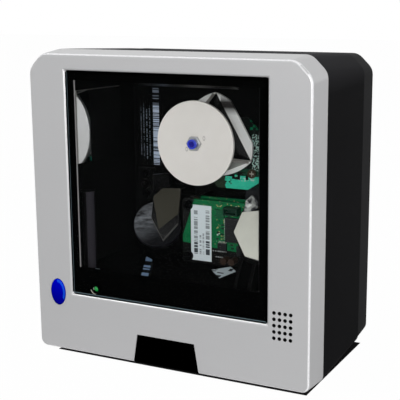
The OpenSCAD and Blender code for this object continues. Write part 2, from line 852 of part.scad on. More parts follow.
module speaker_cloth() color("#050505") stand() translate([speaker_x, 0, control_z])
    plate(front_t, front_t + cloth_t) rounded(speaker_w, speaker_h, speaker_round);

// Optical tub with the posts that carry the optics

module optical_tub() color("#101011") stand() {
    difference() {
        slab([-tub_hw, tub_front, tub_floor - tub_wall], [tub_hw, tub_back, tub_roof]);
        slab([-tub_in, tub_front - cut_over, tub_floor], [tub_in, tub_face, tub_roof - tub_wall]);
    }
    for (x = [-1, 1], z = ear_zs) difference() {
        slab([min(x * (tub_hw - 1), x * (tub_hw + ear_w)), ear_y, z - ear_hw],
            [max(x * (tub_hw - 1), x * (tub_hw + ear_w)), ear_y + ear_t, z + ear_hw]);
        rod(x * ear_x, z, ear_y - cut_over, ear_y + ear_t + cut_over, screw_r + fit_gap);
    }
    side_ribs();
    mirror([1, 0, 0]) side_ribs();
    behind_mirror(top_mirror_at, top_mirror_turn, mirror_t)
        for (x = [-1, 1])
            slab([x * top_rib_x - rib_t, top_mirror_at[1] - top_mirror_l / 3, tub_roof - tub_wall - 14],
                [x * top_rib_x + rib_t, top_mirror_at[1] + top_mirror_l / 3, tub_roof - tub_wall / 2]);
    mirror_post(lower_left_at, lower_left_turn, lower_left_post, mirror_t);
    lower_right_webs();
    mirror_post(collector_at, collector_turn, [0, 0], collector_rim);
    mirror_post(fold_at, fold_turn, [0, 0], mirror_t);
    for (x = [-1, 1])
        translate([x * (tub_in + 0.5 - side_boss_r), side_boss_y, tub_floor - tub_wall / 2])
            cylinder(h = side_boss_top - tub_floor + tub_wall / 2, r = side_boss_r);
    for (p = motor_screws) rear_post(p[0], p[1], motor_board_y + board_t, screw_bite);
    for (x = [-1, 1], z = [0, 1])
        rear_post(stack_x(x), stack_z(z), power_board_y + board_t, screw_bite);
    for (z = [-1, 1])
        rear_post(detector_x, detector_z + z * (detector_h / 2 - 3), detector_y() + board_t, screw_bite);
}

// Post from the tub's back wall forward to a board, with a pilot hole that opens to the front
module rear_post(x, z, y0, bite) {
    difference() {
        rod(x, z, y0, tub_face + tub_wall / 2, post_r);
        rod(x, z, y0 - cut_over, min(y0 + bite, tub_back - 0.6), screw_r + press_gap);
    }
}

// Backing plate of the lower right mirror on two upright webs
module lower_right_webs() {
    head = lower_right_at[2] + web_lift;
    foot = tub_floor - tub_wall / 2;
    behind_mirror(lower_right_at, lower_right_turn, mirror_t + holder_t / 2) for (x = web_xs)
        translate([lower_right_at[0] + x - web_t / 2, 0, 0]) rotate([90, 0, 90])
            linear_extrude(height = web_t) polygon([[tub_front + 4, foot], [decoder_y - 3, foot],
                [lower_right_at[1] + 8, head], [tub_front + 4, head]]);
    mirror_at(lower_right_at, lower_right_turn)
        plate(mirror_t + press_gap, mirror_t + press_gap + holder_t) polygon(holder_shape);
}

// Ribs between the left wall and the back of the left mirror
module side_ribs() {
    back = mirror_t + press_gap;
    function back_of(s) = [
        -side_mirror_x - back * cos(side_mirror_turn) + s * sin(side_mirror_turn),
        side_mirror_y + back * sin(side_mirror_turn) + s * cos(side_mirror_turn)];
    p = back_of(2);
    q = back_of(side_mirror_l - 2);
    for (k = [0:2])
        translate([0, 0, side_mirror_z + 4 + k * (side_mirror_h - 8 - side_rib_t) / 2])
            linear_extrude(height = side_rib_t)
                polygon([p, q, [-tub_in - tub_wall / 2, q[1]], [-tub_in - tub_wall / 2, p[1]]]);
}

module tub_screws() color(steel) stand() {
    for (x = [-1, 1], z = ear_zs)
        screw(x * ear_x, z, ear_y + ear_t, ear_t + screw_bite - 0.5, screw_r, screw_head_r, screw_head_t);
}

module side_mirror() {
    translate([-side_mirror_x, side_mirror_y, side_mirror_z]) rotate([0, 0, -side_mirror_turn])
        translate([-mirror_t, 0, 0]) cube([mirror_t, side_mirror_l, side_mirror_h]);
}

module left_mirror() color(mirror_tone) stand() side_mirror();

module right_mirror() color(mirror_tone) stand() mirror([1, 0, 0]) side_mirror();

module top_mirror() color(mirror_tone) stand() mirror_at(top_mirror_at, top_mirror_turn)
    plate(0, mirror_t) square([top_mirror_w, top_mirror_l], center = true);

module lower_left_mirror() color(mirror_tone) stand() mirror_at(lower_left_at, lower_left_turn)
    plate(0, mirror_t) polygon(lower_left_shape);

module lower_right_mirror() color(mirror_tone) stand() mirror_at(lower_right_at, lower_right_turn)
    plate(0, mirror_t) polygon(lower_right_shape);

module fold_mirror() color(mirror_tone) stand() mirror_at(fold_at, fold_turn)
    plate(0, mirror_t) square([fold_w, fold_w], center = true);

// Round dish, hollow towards the wheel, with a hole for the outgoing beam
module collecting_mirror() color(mirror_tone) stand() mirror_at(collector_at, collector_turn) difference() {
    rod(0, 0, 0, collector_rim, collector_d / 2);
    sag = collector_r - sqrt(collector_r * collector_r - collector_d * collector_d / 4);
    translate([0, sag - collector_r, 0]) rotate([90, 0, 0]) sphere(collector_r, $fn = 96);
}

function detector_y() = tub_face - detector_standoff - board_t;

module detector_board() color(black) stand() difference() {
    slab([detector_x - detector_w / 2, detector_y(), detector_z - detector_h / 2],
        [detector_x + detector_w / 2, detector_y() + board_t, detector_z + detector_h / 2]);
    for (z = [-1, 1])
        rod(detector_x, detector_z + z * (detector_h / 2 - 3), detector_y() - cut_over,
            detector_y() + board_t + cut_over, screw_r + fit_gap);
}

module photodiode() color("#3b1d24") stand() {
    rod(detector_x, detector_z, detector_y() - photodiode_t, detector_y(), photodiode_r);
    translate([detector_x, detector_y() - photodiode_t, detector_z]) sphere(photodiode_r * 0.6);
}

// Laser unit

module laser_bracket() color("#6d7073") stand() difference() {
    slab([laser_x + 4, laser_y - laser_d / 2 - laser_wall, laser_z - laser_d / 2 - laser_wall],
        [laser_x + 4 + bracket_l, tub_face, laser_z + laser_d / 2 + laser_wall]);
    translate([laser_x, laser_y, laser_z]) rotate([0, 90, 0])
        cylinder(h = laser_l, r = laser_d / 2 + press_gap);
}

module laser_barrel() color(brass) stand() translate([laser_x, laser_y, laser_z]) rotate([0, 90, 0])
    difference() {
        cylinder(h = laser_l, r = laser_d / 2);
        translate([0, 0, -cut_over]) cylinder(h = lens_t + 0.4 + cut_over, r = lens_r + press_gap);
        translate([0, 0, -cut_over]) cylinder(h = laser_l / 2, r = beam_r);
    }

module laser_lens() color("#b7c7cf") stand() translate([laser_x + 0.4, laser_y, laser_z])
    rotate([0, 90, 0]) cylinder(h = lens_t, r = lens_r);

// Decoder boards

function stack_x(side) = decoder_x + side * (decoder_w / 2 - decoder_inset);
function stack_z(row) = decoder_z + decoder_inset + row * (decoder_h - 2 * decoder_inset);

module stack_plate(y0) difference() {
    translate([decoder_x, 0, decoder_z + decoder_h / 2]) plate(y0, y0 + board_t)
        rounded(decoder_w, decoder_h, 1.5);
    for (x = [-1, 1], z = [0, 1])
        rod(stack_x(x), stack_z(z), y0 - cut_over, y0 + board_t + cut_over, screw_r + fit_gap);
}

module decoder_board() color(pcb_green) stand() stack_plate(decoder_y);

module power_board() color(pcb_green) stand() stack_plate(power_board_y);

module board_spacers() color(brass) stand() for (x = [-1, 1], z = [0, 1]) difference() {
    translate([stack_x(x), decoder_y + board_t, stack_z(z)]) rotate([-90, 0, 0])
        cylinder(h = decoder_gap, r = spacer_r, $fn = 6);
    rod(stack_x(x), stack_z(z), decoder_y, power_board_y + cut_over, screw_r + fit_gap);
}

module stack_screws() color("#232326") stand() for (x = [-1, 1], z = [0, 1])
    back_screw(stack_x(x), stack_z(z), decoder_y, decoder_gap + 2 * board_t + screw_bite - 0.5,
        screw_r, screw_head_r, screw_head_t);

module board_chips() color("#17181a") stand() {
    chip(decoder_x + 9, decoder_z + 20, 9, 13);
    chip(decoder_x + 2.6, decoder_z + 10.5, 5, 4);
    chip(decoder_x + 13, decoder_z + 9.5, 4, 5);
    chip(decoder_x + 1.6, decoder_z + decoder_h - 6.5, 4.4, 4.4);
}

module chip(x, z, w, h) {
    slab([x - w / 2, decoder_y - chip_t, z - h / 2], [x + w / 2, decoder_y, z + h / 2]);
}

module board_connector() color("#1c1c1e") stand() difference() {
    slab([decoder_x + 5, decoder_y - connector_l, connector_z],
        [decoder_x + 13, decoder_y, connector_z + connector_h]);
    slab([decoder_x + 5.8, decoder_y - connector_l - cut_over, connector_z + 0.8],
        [decoder_x + 12.2, decoder_y - 1.5, connector_z + connector_h - 0.8]);
}

module board_capacitors() color("#4a3a2c") stand()
    for (k = [0, 1])
        rod(decoder_x + 5 + 4.6 * k, decoder_z + 4, decoder_y - capacitor_l, decoder_y, capacitor_r);

module board_sticker() color("#cdd7da") stand() difference() {
    slab([sticker_x - sticker_w / 2, decoder_y - sticker_t, decoder_z + 1.5],
        [sticker_x + sticker_w / 2, decoder_y, decoder_z + 1.5 + sticker_h]);
    for (z = [0, 1])
        rod(stack_x(-1), stack_z(z), decoder_y - cut_over, decoder_y + cut_over, screw_head_r + 0.3);
}

module wall_sticker() color("#3a3d44") stand() {
    slab([wall_sticker_x - wall_sticker_w / 2, tub_face - sticker_t, wall_sticker_z - wall_sticker_h / 2],
        [wall_sticker_x + wall_sticker_w / 2, tub_face, wall_sticker_z + wall_sticker_h / 2]);
}

// Flat ribbon that hangs in a curve from the motor board to the back of the power board

function ribbon_top() = [motor_board_y + board_t + ribbon_socket_l / 2, motor_board_foot + 1];
function ribbon_foot() = [power_board_y + board_t + ribbon_socket_l, stack_z(1) - 4];

function ribbon_point(s) =
    let (
        a = ribbon_top(),
        d = ribbon_foot(),
        b = a - [0, 9],
        c = d + [6, 0])
    pow(1 - s, 3) * a + 3 * s * pow(1 - s, 2) * b + 3 * s * s * (1 - s) * c + pow(s, 3) * d;

function ribbon_side(s) =
    let (t = ribbon_point(min(s + 0.01, 1)) - ribbon_point(max(s - 0.01, 0)))
    ribbon_t / 2 * [-t[1], t[0]] / norm(t);

module motor_ribbon() color("#3c3e42") stand() translate([ribbon_x - ribbon_w / 2, 0, 0])
    rotate([90, 0, 90]) linear_extrude(height = ribbon_w) polygon(concat(
        [for (i = [0:ribbon_steps]) ribbon_point(i / ribbon_steps) + ribbon_side(i / ribbon_steps)],
        [for (i = [ribbon_steps:-1:0]) ribbon_point(i / ribbon_steps) - ribbon_side(i / ribbon_steps)]));

module ribbon_sockets() color("#1c1c1e") stand() {
    x0 = ribbon_x - ribbon_socket_w / 2;
    x1 = ribbon_x + ribbon_socket_w / 2;
    slab([x0, motor_board_y + board_t, ribbon_top()[1]],
        [x1, motor_board_y + board_t + ribbon_socket_l, ribbon_top()[1] + ribbon_socket_h]);
    slab([x0, power_board_y + board_t, ribbon_foot()[1] - ribbon_socket_h / 2],
        [x1, ribbon_foot()[0], ribbon_foot()[1] + ribbon_socket_h / 2]);
}

// Motor

module motor_board() color("#1f9a78") stand() difference() {
    plate(motor_board_y, motor_board_y + board_t) polygon([
        [motor_board_left, motor_board_foot + motor_board_step],
        [motor_board_left + motor_board_step, motor_board_foot],
        [motor_board_right - motor_board_cut[0], motor_board_foot],
        [motor_board_right, motor_board_foot + motor_board_cut[1]],
        [motor_board_right, motor_board_top - motor_board_nip[1]],
        [motor_board_right - motor_board_nip[0], motor_board_top],
        [motor_board_left, motor_board_top]]);
    rod(0, wheel_z, motor_board_y - cut_over, motor_board_y + board_t + cut_over, bearing_r + press_gap);
    for (p = motor_screws)
        rod(p[0], p[1], motor_board_y - cut_over, motor_board_y + board_t + cut_over, screw_r + fit_gap);
}

module motor_bearing() color(brass) stand() difference() {
    union() {
        rod(0, wheel_z, stator_back - core_h, tub_face, bearing_r);
        rod(0, wheel_z, stator_back, motor_board_y, yoke_r);
    }
    rod(0, wheel_z, stator_back - core_h - cut_over, tub_face + cut_over, shaft_r + shaft_play);
}

module stator_core() color(steel) stand() difference() {
    union() {
        rod(0, wheel_z, stator_back - core_h, stator_back, yoke_r);
        for (k = [0:teeth - 1]) intersection() {
            translate([0, 0, wheel_z]) rotate([0, 360 / teeth * k, 0])
                slab([0, stator_back - core_h, -tooth_w / 2], [rotor_d, stator_back, tooth_w / 2]);
            rod(0, wheel_z, stator_back - core_h, stator_back, stator_r);
        }
    }
    rod(0, wheel_z, stator_back - core_h - cut_over, stator_back + cut_over, bearing_r + press_gap);
}

module stator_coils() color("#b5672f") stand() for (k = [0:teeth - 1])
    translate([0, 0, wheel_z]) rotate([0, 360 / teeth * k, 0]) difference() {
        slab([coil_r0, stator_back - core_h - coil_over, -coil_w / 2],
            [stator_r - 1.2, stator_back + coil_over, coil_w / 2]);
        slab([0, stator_back - core_h - press_gap, -tooth_w / 2 - press_gap],
            [rotor_d, stator_back + press_gap, tooth_w / 2 + press_gap]);
    }

module board_screws() color(steel) stand() {
    for (p = motor_screws)
        back_screw(p[0], p[1], motor_board_y, board_t + motor_standoff, screw_r, screw_head_r, screw_head_t);
    for (z = [-1, 1]) {
        screw(switch_board_x, control_z + z * switch_post_z, switch_board_y + board_t,
            board_t + screw_bite - 0.5, screw_r, screw_head_r, screw_head_t);
        back_screw(detector_x, detector_z + z * (detector_h / 2 - 3), detector_y(),
            board_t + detector_standoff, screw_r, screw_head_r, screw_head_t);
    }
    for (x = [-1, 1]) {
        screw(led_x + x * led_post_dx, led_post_z, led_board_y + board_t, board_t + screw_bite - 0.5,
            screw_r, screw_head_r, screw_head_t);
        translate([x * interface_post_x, interface_screw_y(), interface_z() + board_t]) {
            translate([0, 0, -board_t - screw_bite + 0.5])
                cylinder(h = board_t + screw_bite, r = screw_r);
            cylinder(h = screw_head_t, r = screw_head_r);
        }
    }
}

// Mirror wheel: everything here turns with the shaft

module wheel_shaft() color(steel) stand()
    rod(0, wheel_z, shaft_front, tub_face - shaft_end_gap, shaft_r);

module around_shaft(y0, y1) difference() {
    children();
    rod(0, wheel_z, y0 - cut_over, y1 + cut_over, shaft_r + press_gap);
}

module rotor_cup() color("#8f9295") stand() {
    y0 = rear_disc_y + disc_t;
    y1 = motor_board_y - cup_gap;
    around_shaft(y0, y1) difference() {
        rod(0, wheel_z, y0, y1, rotor_d / 2);
        rod(0, wheel_z, y0 + cup_t, y1 + cut_over, rotor_d / 2 - cup_t);
    }
}

module rotor_magnet() color("#3d3d40") stand() {
    y0 = rear_disc_y + disc_t + cup_t;
    y1 = motor_board_y - cup_gap - press_gap;
    difference() {
        rod(0, wheel_z, y0, y1, rotor_d / 2 - cup_t - press_gap);
        rod(0, wheel_z, y0 - cut_over, y1 + cut_over, rotor_d / 2 - cup_t - magnet_t);
    }
}

// Rear plate: three bowed sides, with the corners taken off by a circle
module rear_disc() color(mirror_tone) stand() around_shaft(rear_disc_y, rear_disc_y + disc_t) intersection() {
    rod(0, wheel_z, rear_disc_y, rear_disc_y + disc_t, plate_corner - facet_margin / 2);
    plate_bow(30);
    plate_bow(150);
    plate_bow(270);
}

module plate_bow(a) {
    rod(-plate_shift * cos(a), wheel_z - plate_shift * sin(a), rear_disc_y, rear_disc_y + disc_t,
        plate_side + plate_shift);
}

// Facet k stands on the rear disc and leans in towards the front
module facet_at(k) {
    translate([0, rear_disc_y, wheel_z]) rotate([0, -30 - 120 * k, 0]) translate([facet_in, 0, 0])
        rotate([0, 0, -facet_tilts[k]]) children();
}

// Core behind the facets, with a stepped hub up to the front disc
module wheel_core() color("#2a2928") stand() {
    y0 = front_disc_y + disc_t;
    around_shaft(y0, rear_disc_y) {
        difference() {
            rod(0, wheel_z, y0 + hub_l, rear_disc_y, wheel_r - 1);
            for (k = [0:2]) facet_at(k)
                translate([-facet_t, -2 * wheel_d, -wheel_d]) cube([wheel_d, 4 * wheel_d, 2 * wheel_d]);
        }
        rod(0, wheel_z, y0, y0 + hub_step, shaft_r + 4.5);
        rod(0, wheel_z, y0 + hub_step - cut_over, y0 + hub_l + cut_over, shaft_r + 3);
        plate(y0 + hub_step - 0.8, y0 + hub_l - 0.2) polygon([for (a = [90, 210, 330], s = [-1, 1])
            [clamp_r * cos(a) - s * clamp_w * sin(a), wheel_z + clamp_r * sin(a) + s * clamp_w * cos(a)]]);
    }
}

module mirror_facets() color(mirror_tone) stand() for (k = [0:2]) {
    w = sqrt(3) * (facet_in - facet_t) - facet_split;
    w0 = facet_end(k, (k + 2) % 3);
    w1 = facet_end(k, (k + 1) % 3);
    facet_at(k) translate([-facet_t, -0.4, 0]) rotate([90, 0, 90]) linear_extrude(height = facet_t)
        polygon([[0, -w], [0, w], [-facet_l(k), w1], [-facet_l(k), -w0]]);
}

function facet_l(k) = (wheel_gap - hub_l) / cos(facet_tilts[k]) - 0.6;

// Distance of a facet's inner face from the shaft at its front end
function facet_front(k) = facet_in - facet_t - facet_l(k) * sin(facet_tilts[k]);

// Half width at the front end, up to the corner that the facet shares with its neighbour n
function facet_end(k, n) = (facet_front(n) + facet_front(k) / 2) / cos(30) - facet_split;

module front_disc() color(cream) stand() around_shaft(front_disc_y, front_disc_y + disc_t)
    rod(0, wheel_z, front_disc_y, front_disc_y + disc_t, wheel_r);

module hub_nut() color("#a9acaf") stand() around_shaft(front_disc_y - nut_t, front_disc_y)
    translate([0, front_disc_y - nut_t, wheel_z]) rotate([-90, 0, 0]) cylinder(h = nut_t, r = nut_r, $fn = 6);

module hub_cap() color("#2f4fb4") stand() around_shaft(front_disc_y - nut_t - cap_t, front_disc_y - nut_t)
    rod(0, wheel_z, front_disc_y - nut_t - cap_t, front_disc_y - nut_t, cap_r);

front_bezel();
window_glass();
window_gasket();
notch_insert();
main_housing();
rear_cover();
rubber_feet();
housing_screws();
cover_screws();
bracket_inserts();
interface_socket();
socket_contacts();
interface_board();
button_cap();
switch_plunger();
button_switch();
switch_board();
status_led();
led_board();
speaker();
speaker_cloth();
optical_tub();
tub_screws();
left_mirror();
right_mirror();
top_mirror();
lower_left_mirror();
lower_right_mirror();
fold_mirror();
collecting_mirror();
photodiode();
detector_board();
laser_bracket();
laser_barrel();
laser_lens();
decoder_board();
power_board();
board_spacers();
stack_screws();
board_chips();
board_connector();
board_capacitors();
board_sticker();
wall_sticker();
motor_ribbon();
ribbon_sockets();
motor_board();
motor_bearing();
stator_core();
stator_coils();
board_screws();
wheel_shaft();
rotor_cup();
rotor_magnet();
rear_disc();
wheel_core();
mirror_facets();
front_disc();
hub_nut();
hub_cap();
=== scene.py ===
import bpy
import json
from math import radians, sin, cos, hypot
from mathutils import Matrix, Vector


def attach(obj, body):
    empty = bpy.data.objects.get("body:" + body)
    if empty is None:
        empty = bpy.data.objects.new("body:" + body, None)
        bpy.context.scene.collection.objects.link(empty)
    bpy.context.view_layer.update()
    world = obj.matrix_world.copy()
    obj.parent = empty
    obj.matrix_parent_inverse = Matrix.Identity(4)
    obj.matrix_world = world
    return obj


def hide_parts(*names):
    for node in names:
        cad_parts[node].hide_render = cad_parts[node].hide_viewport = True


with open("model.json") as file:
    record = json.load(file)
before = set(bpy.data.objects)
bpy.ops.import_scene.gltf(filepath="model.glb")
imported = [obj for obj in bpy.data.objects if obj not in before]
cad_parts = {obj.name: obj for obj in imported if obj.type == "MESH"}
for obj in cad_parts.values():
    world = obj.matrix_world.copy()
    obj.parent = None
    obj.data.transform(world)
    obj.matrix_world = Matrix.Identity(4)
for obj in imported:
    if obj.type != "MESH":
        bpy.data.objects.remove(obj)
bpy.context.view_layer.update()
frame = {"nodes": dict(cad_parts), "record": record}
nodes = frame["nodes"]
scene = bpy.context.scene
scene.view_settings.view_transform = "Standard"
bpy.ops.object.select_all(action="DESELECT")
mm = 0.001
depthShift = 46.75  # front face of the bezel to the middle of the part
footLift = 1.0  # height of the housing's underside on its feet
wheelUp = 108.8  # height of the mirror wheel's axis
close = 0.05  # places nearer than this count as the same
square = 0.9  # a face whose normal has this much of an axis is square to it
white = (1, 1, 1, 1)
black = (0, 0, 0, 1)


def at(x, d, z):  # millimetres: right, back from the front face, up from the underside
    return Vector((x, d - depthShift, z + footLift)) * mm


def spot(point):  # back from metres to millimetres: right, back, up
    return point.x / mm, point.y / mm + depthShift, point.z / mm - footLift


def paint(r, g, b):  # screen colour to the shader's linear colour
    linear = [(c / 255) ** 2.2 for c in (r, g, b)]
    return (*linear, 1.0)


def scaled(tone, share):  # a screen colour made darker or paler
    return paint(*[c * share for c in tone])


def grey(level):
    return (level, level, level, 1)


class Wire:
    def __init__(self, finish, socket):
        self.finish, self.socket = finish, socket

    def also(self, name):  # another output of the same node
        return Wire(self.finish, self.socket.node.outputs[name])

    def calc(self, operation, a, b=0.0):
        return self.finish.node("ShaderNodeMath", {"operation": operation}, {0: a, 1: b})

    def __add__(self, other):
        return self.calc("ADD", self, other)

    def __radd__(self, other):
        return self.calc("ADD", other, self)

    def __sub__(self, other):
        return self.calc("SUBTRACT", self, other)

    def __rsub__(self, other):
        return self.calc("SUBTRACT", other, self)

    def __mul__(self, other):
        return self.calc("MULTIPLY", self, other)

    def __rmul__(self, other):
        return self.calc("MULTIPLY", other, self)

    def __truediv__(self, other):
        return self.calc("DIVIDE", self, other)

    def __gt__(self, other):
        return self.calc("GREATER_THAN", self, other)

    def __lt__(self, other):
        return self.calc("LESS_THAN", self, other)

    def __abs__(self):
        return self.calc("ABSOLUTE", self)

    def root(self):
        return self.calc("SQRT", self)

    def sine(self):
        return self.calc("SINE", self)

    def whole(self):  # rounded down
        return self.calc("FLOOR", self)

    def most(self, other):  # the larger of two
        return self.calc("MAXIMUM", self, other)

    def clamped(self):  # kept between 0 and 1
        self.socket.node.use_clamp = True
        return self


class Finish:
    def __init__(self, name, holder=None, output="ShaderNodeOutputMaterial"):
        self.holder = holder or bpy.data.materials.new(name)
        self.holder.use_nodes = True
        self.tree = self.holder.node_tree
        self.tree.nodes.clear()
        self.output = self.tree.nodes.new(output)
        self.coords = self.node("ShaderNodeTexCoord", {}, {}, "Object")

    def node(self, kind, settings, values, out=0):
        made = self.tree.nodes.new(kind)
        for key, value in settings.items():
            if key == "stops":
                ramp = made.color_ramp
                while len(ramp.elements) < len(value):
                    ramp.elements.new(0.5)
                for element, (place, colour) in zip(ramp.elements, value):
                    element.position = place
                    element.color = colour
            else:
                setattr(made, key, value)
        for key, value in values.items():
            if isinstance(value, Wire):
                self.tree.links.new(value.socket, made.inputs[key])
            else:
                made.inputs[key].default_value = value
        return Wire(self, made.outputs[out])

    def axes(self, wanted="xdz"):  # the place on the part in millimetres: right, back, up
        split = self.node("ShaderNodeSeparateXYZ", {}, {0: self.coords})
        origin = {"x": ("X", 0.0), "d": ("Y", depthShift), "z": ("Z", -footLift)}
        return [split.also(origin[axis][0]) / mm + origin[axis][1] for axis in wanted]

    def noise(self, perMetre, detail=2.0, rough=0.5, along=None):
        values = {"Vector": along or self.coords, "Scale": perMetre, "Detail": detail, "Roughness": rough}
        return self.node("ShaderNodeTexNoise", {}, values, "Fac")

    def mix(self, share, a, b):
        return self.node("ShaderNodeMix", {"data_type": "RGBA"}, {0: share, 6: a, 7: b}, 2)

    def level(self, colour):  # a colour's brightness as one value
        return self.node("ShaderNodeRGBToBW", {}, {0: colour})

    def fade(self, value, low, high):  # 0 up to low, rising to 1 at high
        stops = [(low, black), (high, white)]
        return self.level(self.node("ShaderNodeValToRGB", {"stops": stops}, {"Fac": value}, "Color"))

    def bump(self, height, reach, strength=1.0):
        values = {"Height": height, "Distance": reach, "Strength": strength}
        return self.node("ShaderNodeBump", {}, values, "Normal")

    def within(self, value, low, high):  # 1 between low and high
        return (value > low) * (value < high)

    def show(self, shader):
        self.tree.links.new(shader.socket, self.output.inputs["Surface"])
        return self.holder

    def surface(self, **values):
        named = {key.replace("_", " "): value for key, value in values.items()}
        return self.show(self.node("ShaderNodeBsdfPrincipled", {}, named, "BSDF"))


print("stage: finishes")


def silverPaint():
    f = Finish("silverPaint")
    flake = f.noise(5200, 1.0)
    drift = f.noise(26, 2.0)
    base = f.mix(flake, paint(172, 172, 173), paint(190, 190, 191))
    base = f.mix(drift * 0.25, base, paint(170, 171, 174))
    return f.surface(Base_Color=base, Metallic=0.45, Roughness=0.3 + flake * 0.1, Coat_Weight=0.2,
                     Coat_Roughness=0.15, Normal=f.bump(f.noise(1500, 2.0), 0.00003, 0.35))


topLightSpec = {"low": 138.0, "perMm": 0.06}


def mouldedBlack(name, tone, rough, shine, crown=None):
    f = Finish(name)
    grain = f.noise(2600, 3.0, 0.65)
    cloud = f.noise(40, 2.0)
    base = f.mix(cloud, paint(*tone), paint(*[c * 1.2 + 1 for c in tone]))
    if crown:  # painted light: paler toward the top, where light from above falls
        z = f.axes("z")[0]
        paintedTopLight = ((z - topLightSpec["low"]) * topLightSpec["perMm"]).clamped()
        base = f.mix(paintedTopLight, base, paint(*crown))
    return f.surface(Base_Color=base, Roughness=rough + grain * 0.14, Specular_IOR_Level=shine,
                     Normal=f.bump(grain, 0.00006, 0.5))


def dullBlack(name, level, rough, shine):
    f = Finish(name)
    grain = f.noise(900, 2.0)
    pale = (level * 1.8, level * 1.8, level * 1.9, 1)
    return f.surface(Base_Color=f.mix(grain, grey(level), pale), Roughness=rough + grain * 0.1,
                     Specular_IOR_Level=shine)


paneTint = {"clear": (0.99, 0.995, 0.995, 1), "deep": (0.004, 0.005, 0.005, 1),
            "pale": (0.006, 0.007, 0.007, 1), "sheen": 0.06}


def windowPane():
    f = Finish("windowPane")
    clear = f.node("ShaderNodeBsdfTransparent", {}, {"Color": paneTint["clear"]}, "BSDF")
    tone = f.mix(f.noise(60), paneTint["deep"], paneTint["pale"])
    sheen = f.node("ShaderNodeBsdfPrincipled", {},
                   {"Base Color": tone, "Roughness": 0.03, "Specular IOR Level": 0.2}, "BSDF")
    return f.show(f.node("ShaderNodeMixShader", {}, {0: paneTint["sheen"], 1: clear, 2: sheen}, "Shader"))


def paleEdge(name, tone, rough):
    f = Finish(name)
    haze = f.noise(1800, 2.0)
    base = f.mix(haze, paint(*tone), scaled(tone, 0.82))
    return f.surface(Base_Color=base, Roughness=rough + haze * 0.15)


def silvered(name, tone, rough):
    f = Finish(name)
    dust = f.noise(420, 4.0, 0.7)
    base = f.mix(dust * 0.3, paint(*tone), scaled(tone, 0.9))
    return f.surface(Base_Color=base, Metallic=1.0, Roughness=rough + dust * 0.04)


discSpec = {"grooves": 34, "marks": ((-4.6, 105.6), (5.3, 111.7)), "half": 0.75, "tall": 1.25,
            "ring": (0.55, 1.0), "markBack": 34.0}
# the rear plate's painted shadow band and the painted shade beside its lowest facet
plateSpec = {"paintedShadowUp": 126.4, "paintedShadowPeak": 1.3, "paintedShadowReach": 4.2, "paintedShadowLeft": 3.4,
             "lowLeft": 4.0, "lowFoot": 88.4, "lowLean": 0.431, "lowTop": 98.4, "lowWide": 24.0}


def turnedDisc(name, pale, deep, metal, rough, shaded=False):
    f = Finish(name)
    x, d, z = f.axes()
    up = z - wheelUp
    rings = ((x * x + up * up).root() * discSpec["grooves"]).sine()
    cloud = f.noise(160, 3.0)
    base = f.mix(cloud, paint(*pale), paint(*deep))
    base = f.mix((rings * 0.5 + 0.5) * 0.1, base, scaled(deep, 0.88))
    for markX, markZ in discSpec["marks"]:  # two faint oval punch marks, drawn as a painted shaded ring where each dimple would dip
        right, rise = (x - markX) / discSpec["half"], (z - markZ) / discSpec["tall"]
        oval = f.within((right * right + rise * rise).root(), *discSpec["ring"])
        base = f.mix(oval * (d < discSpec["markBack"]) * 0.6, base, paint(150, 146, 140))
    if shaded:  # painted shade on the rear plate: a painted shadow band near its upper right, and painted shade beside the lowest facet that pales outward
        paintedShadow = (plateSpec["paintedShadowPeak"] - abs(z - plateSpec["paintedShadowUp"]) / plateSpec["paintedShadowReach"]).clamped()
        base = f.mix(paintedShadow * (x > plateSpec["paintedShadowLeft"]), base, paint(44, 41, 40))
        above = z > plateSpec["lowFoot"] + x * plateSpec["lowLean"]
        facetShade = above * (z < plateSpec["lowTop"]) * (x > plateSpec["lowLeft"])
        outward = x / plateSpec["lowWide"] + cloud * 0.2
        base = f.mix(facetShade, base, f.mix(outward, paint(50, 54, 48), paint(172, 174, 168)))
    return f.surface(Base_Color=base, Metallic=metal, Roughness=rough + cloud * 0.08,
                     Normal=f.bump(rings, 0.00002, 0.4))


def plainPlastic(name, tone, rough, vary=0.1, shine=0.5, coat=0.0):
    f = Finish(name)
    cloud = f.noise(300, 3.0)
    fine = f.noise(2400, 2.0)
    base = f.mix(cloud, paint(*tone), scaled(tone, 1 - vary))
    return f.surface(Base_Color=base, Roughness=rough + fine * 0.1, Specular_IOR_Level=shine,
                     Coat_Weight=coat, Coat_Roughness=0.06, Normal=f.bump(fine, 0.00002, 0.3))


tintSpec = {"right": 13.6, "low": 67.0}


def tintedChip(name, tone, lacquer):  # painted shade: the upper left of each chip takes the board's shaded dark green
    f = Finish(name)
    x, z = f.axes("xz")
    cloud = f.noise(300, 3.0)
    base = f.mix(cloud, paint(*tone), scaled(tone, 0.8))
    base = f.mix((x < tintSpec["right"]) * (z > tintSpec["low"]), base, paint(*lacquer))
    return f.surface(Base_Color=base, Roughness=0.5 + cloud * 0.1, Specular_IOR_Level=0.3)


def streakMetal(name, deep, pale):  # painted reflections: a sheet with painted dark reflections and painted bright highlights
    f = Finish(name)
    cloud = f.noise(240, 2.0)
    base = f.mix(f.fade(cloud, 0.5, 0.64), paint(*deep), paint(*pale))
    return f.surface(Base_Color=base, Metallic=0.25, Roughness=0.35 + cloud * 0.1)


def bareMetal(name, tone, rough, stretch=(1, 1, 1)):
    f = Finish(name)
    along = f.node("ShaderNodeMapping", {}, {"Vector": f.coords, "Scale": stretch}, "Vector")
    lines = f.noise(1400, 3.0, along=along)
    base = f.mix(lines, paint(*tone), scaled(tone, 0.86))
    return f.surface(Base_Color=base, Metallic=1.0, Roughness=rough + lines * 0.16,
                     Normal=f.bump(lines, 0.00001, 0.4))


padSpec = {"ring": 0.13, "drill": 0.07}
blackZoneSpec = {"foot": 53.3, "footFall": 0.075, "endUp": 78.0, "endLean": 0.346, "endLeft": 5.0,
               "front": 41.0, "back": 52.0}


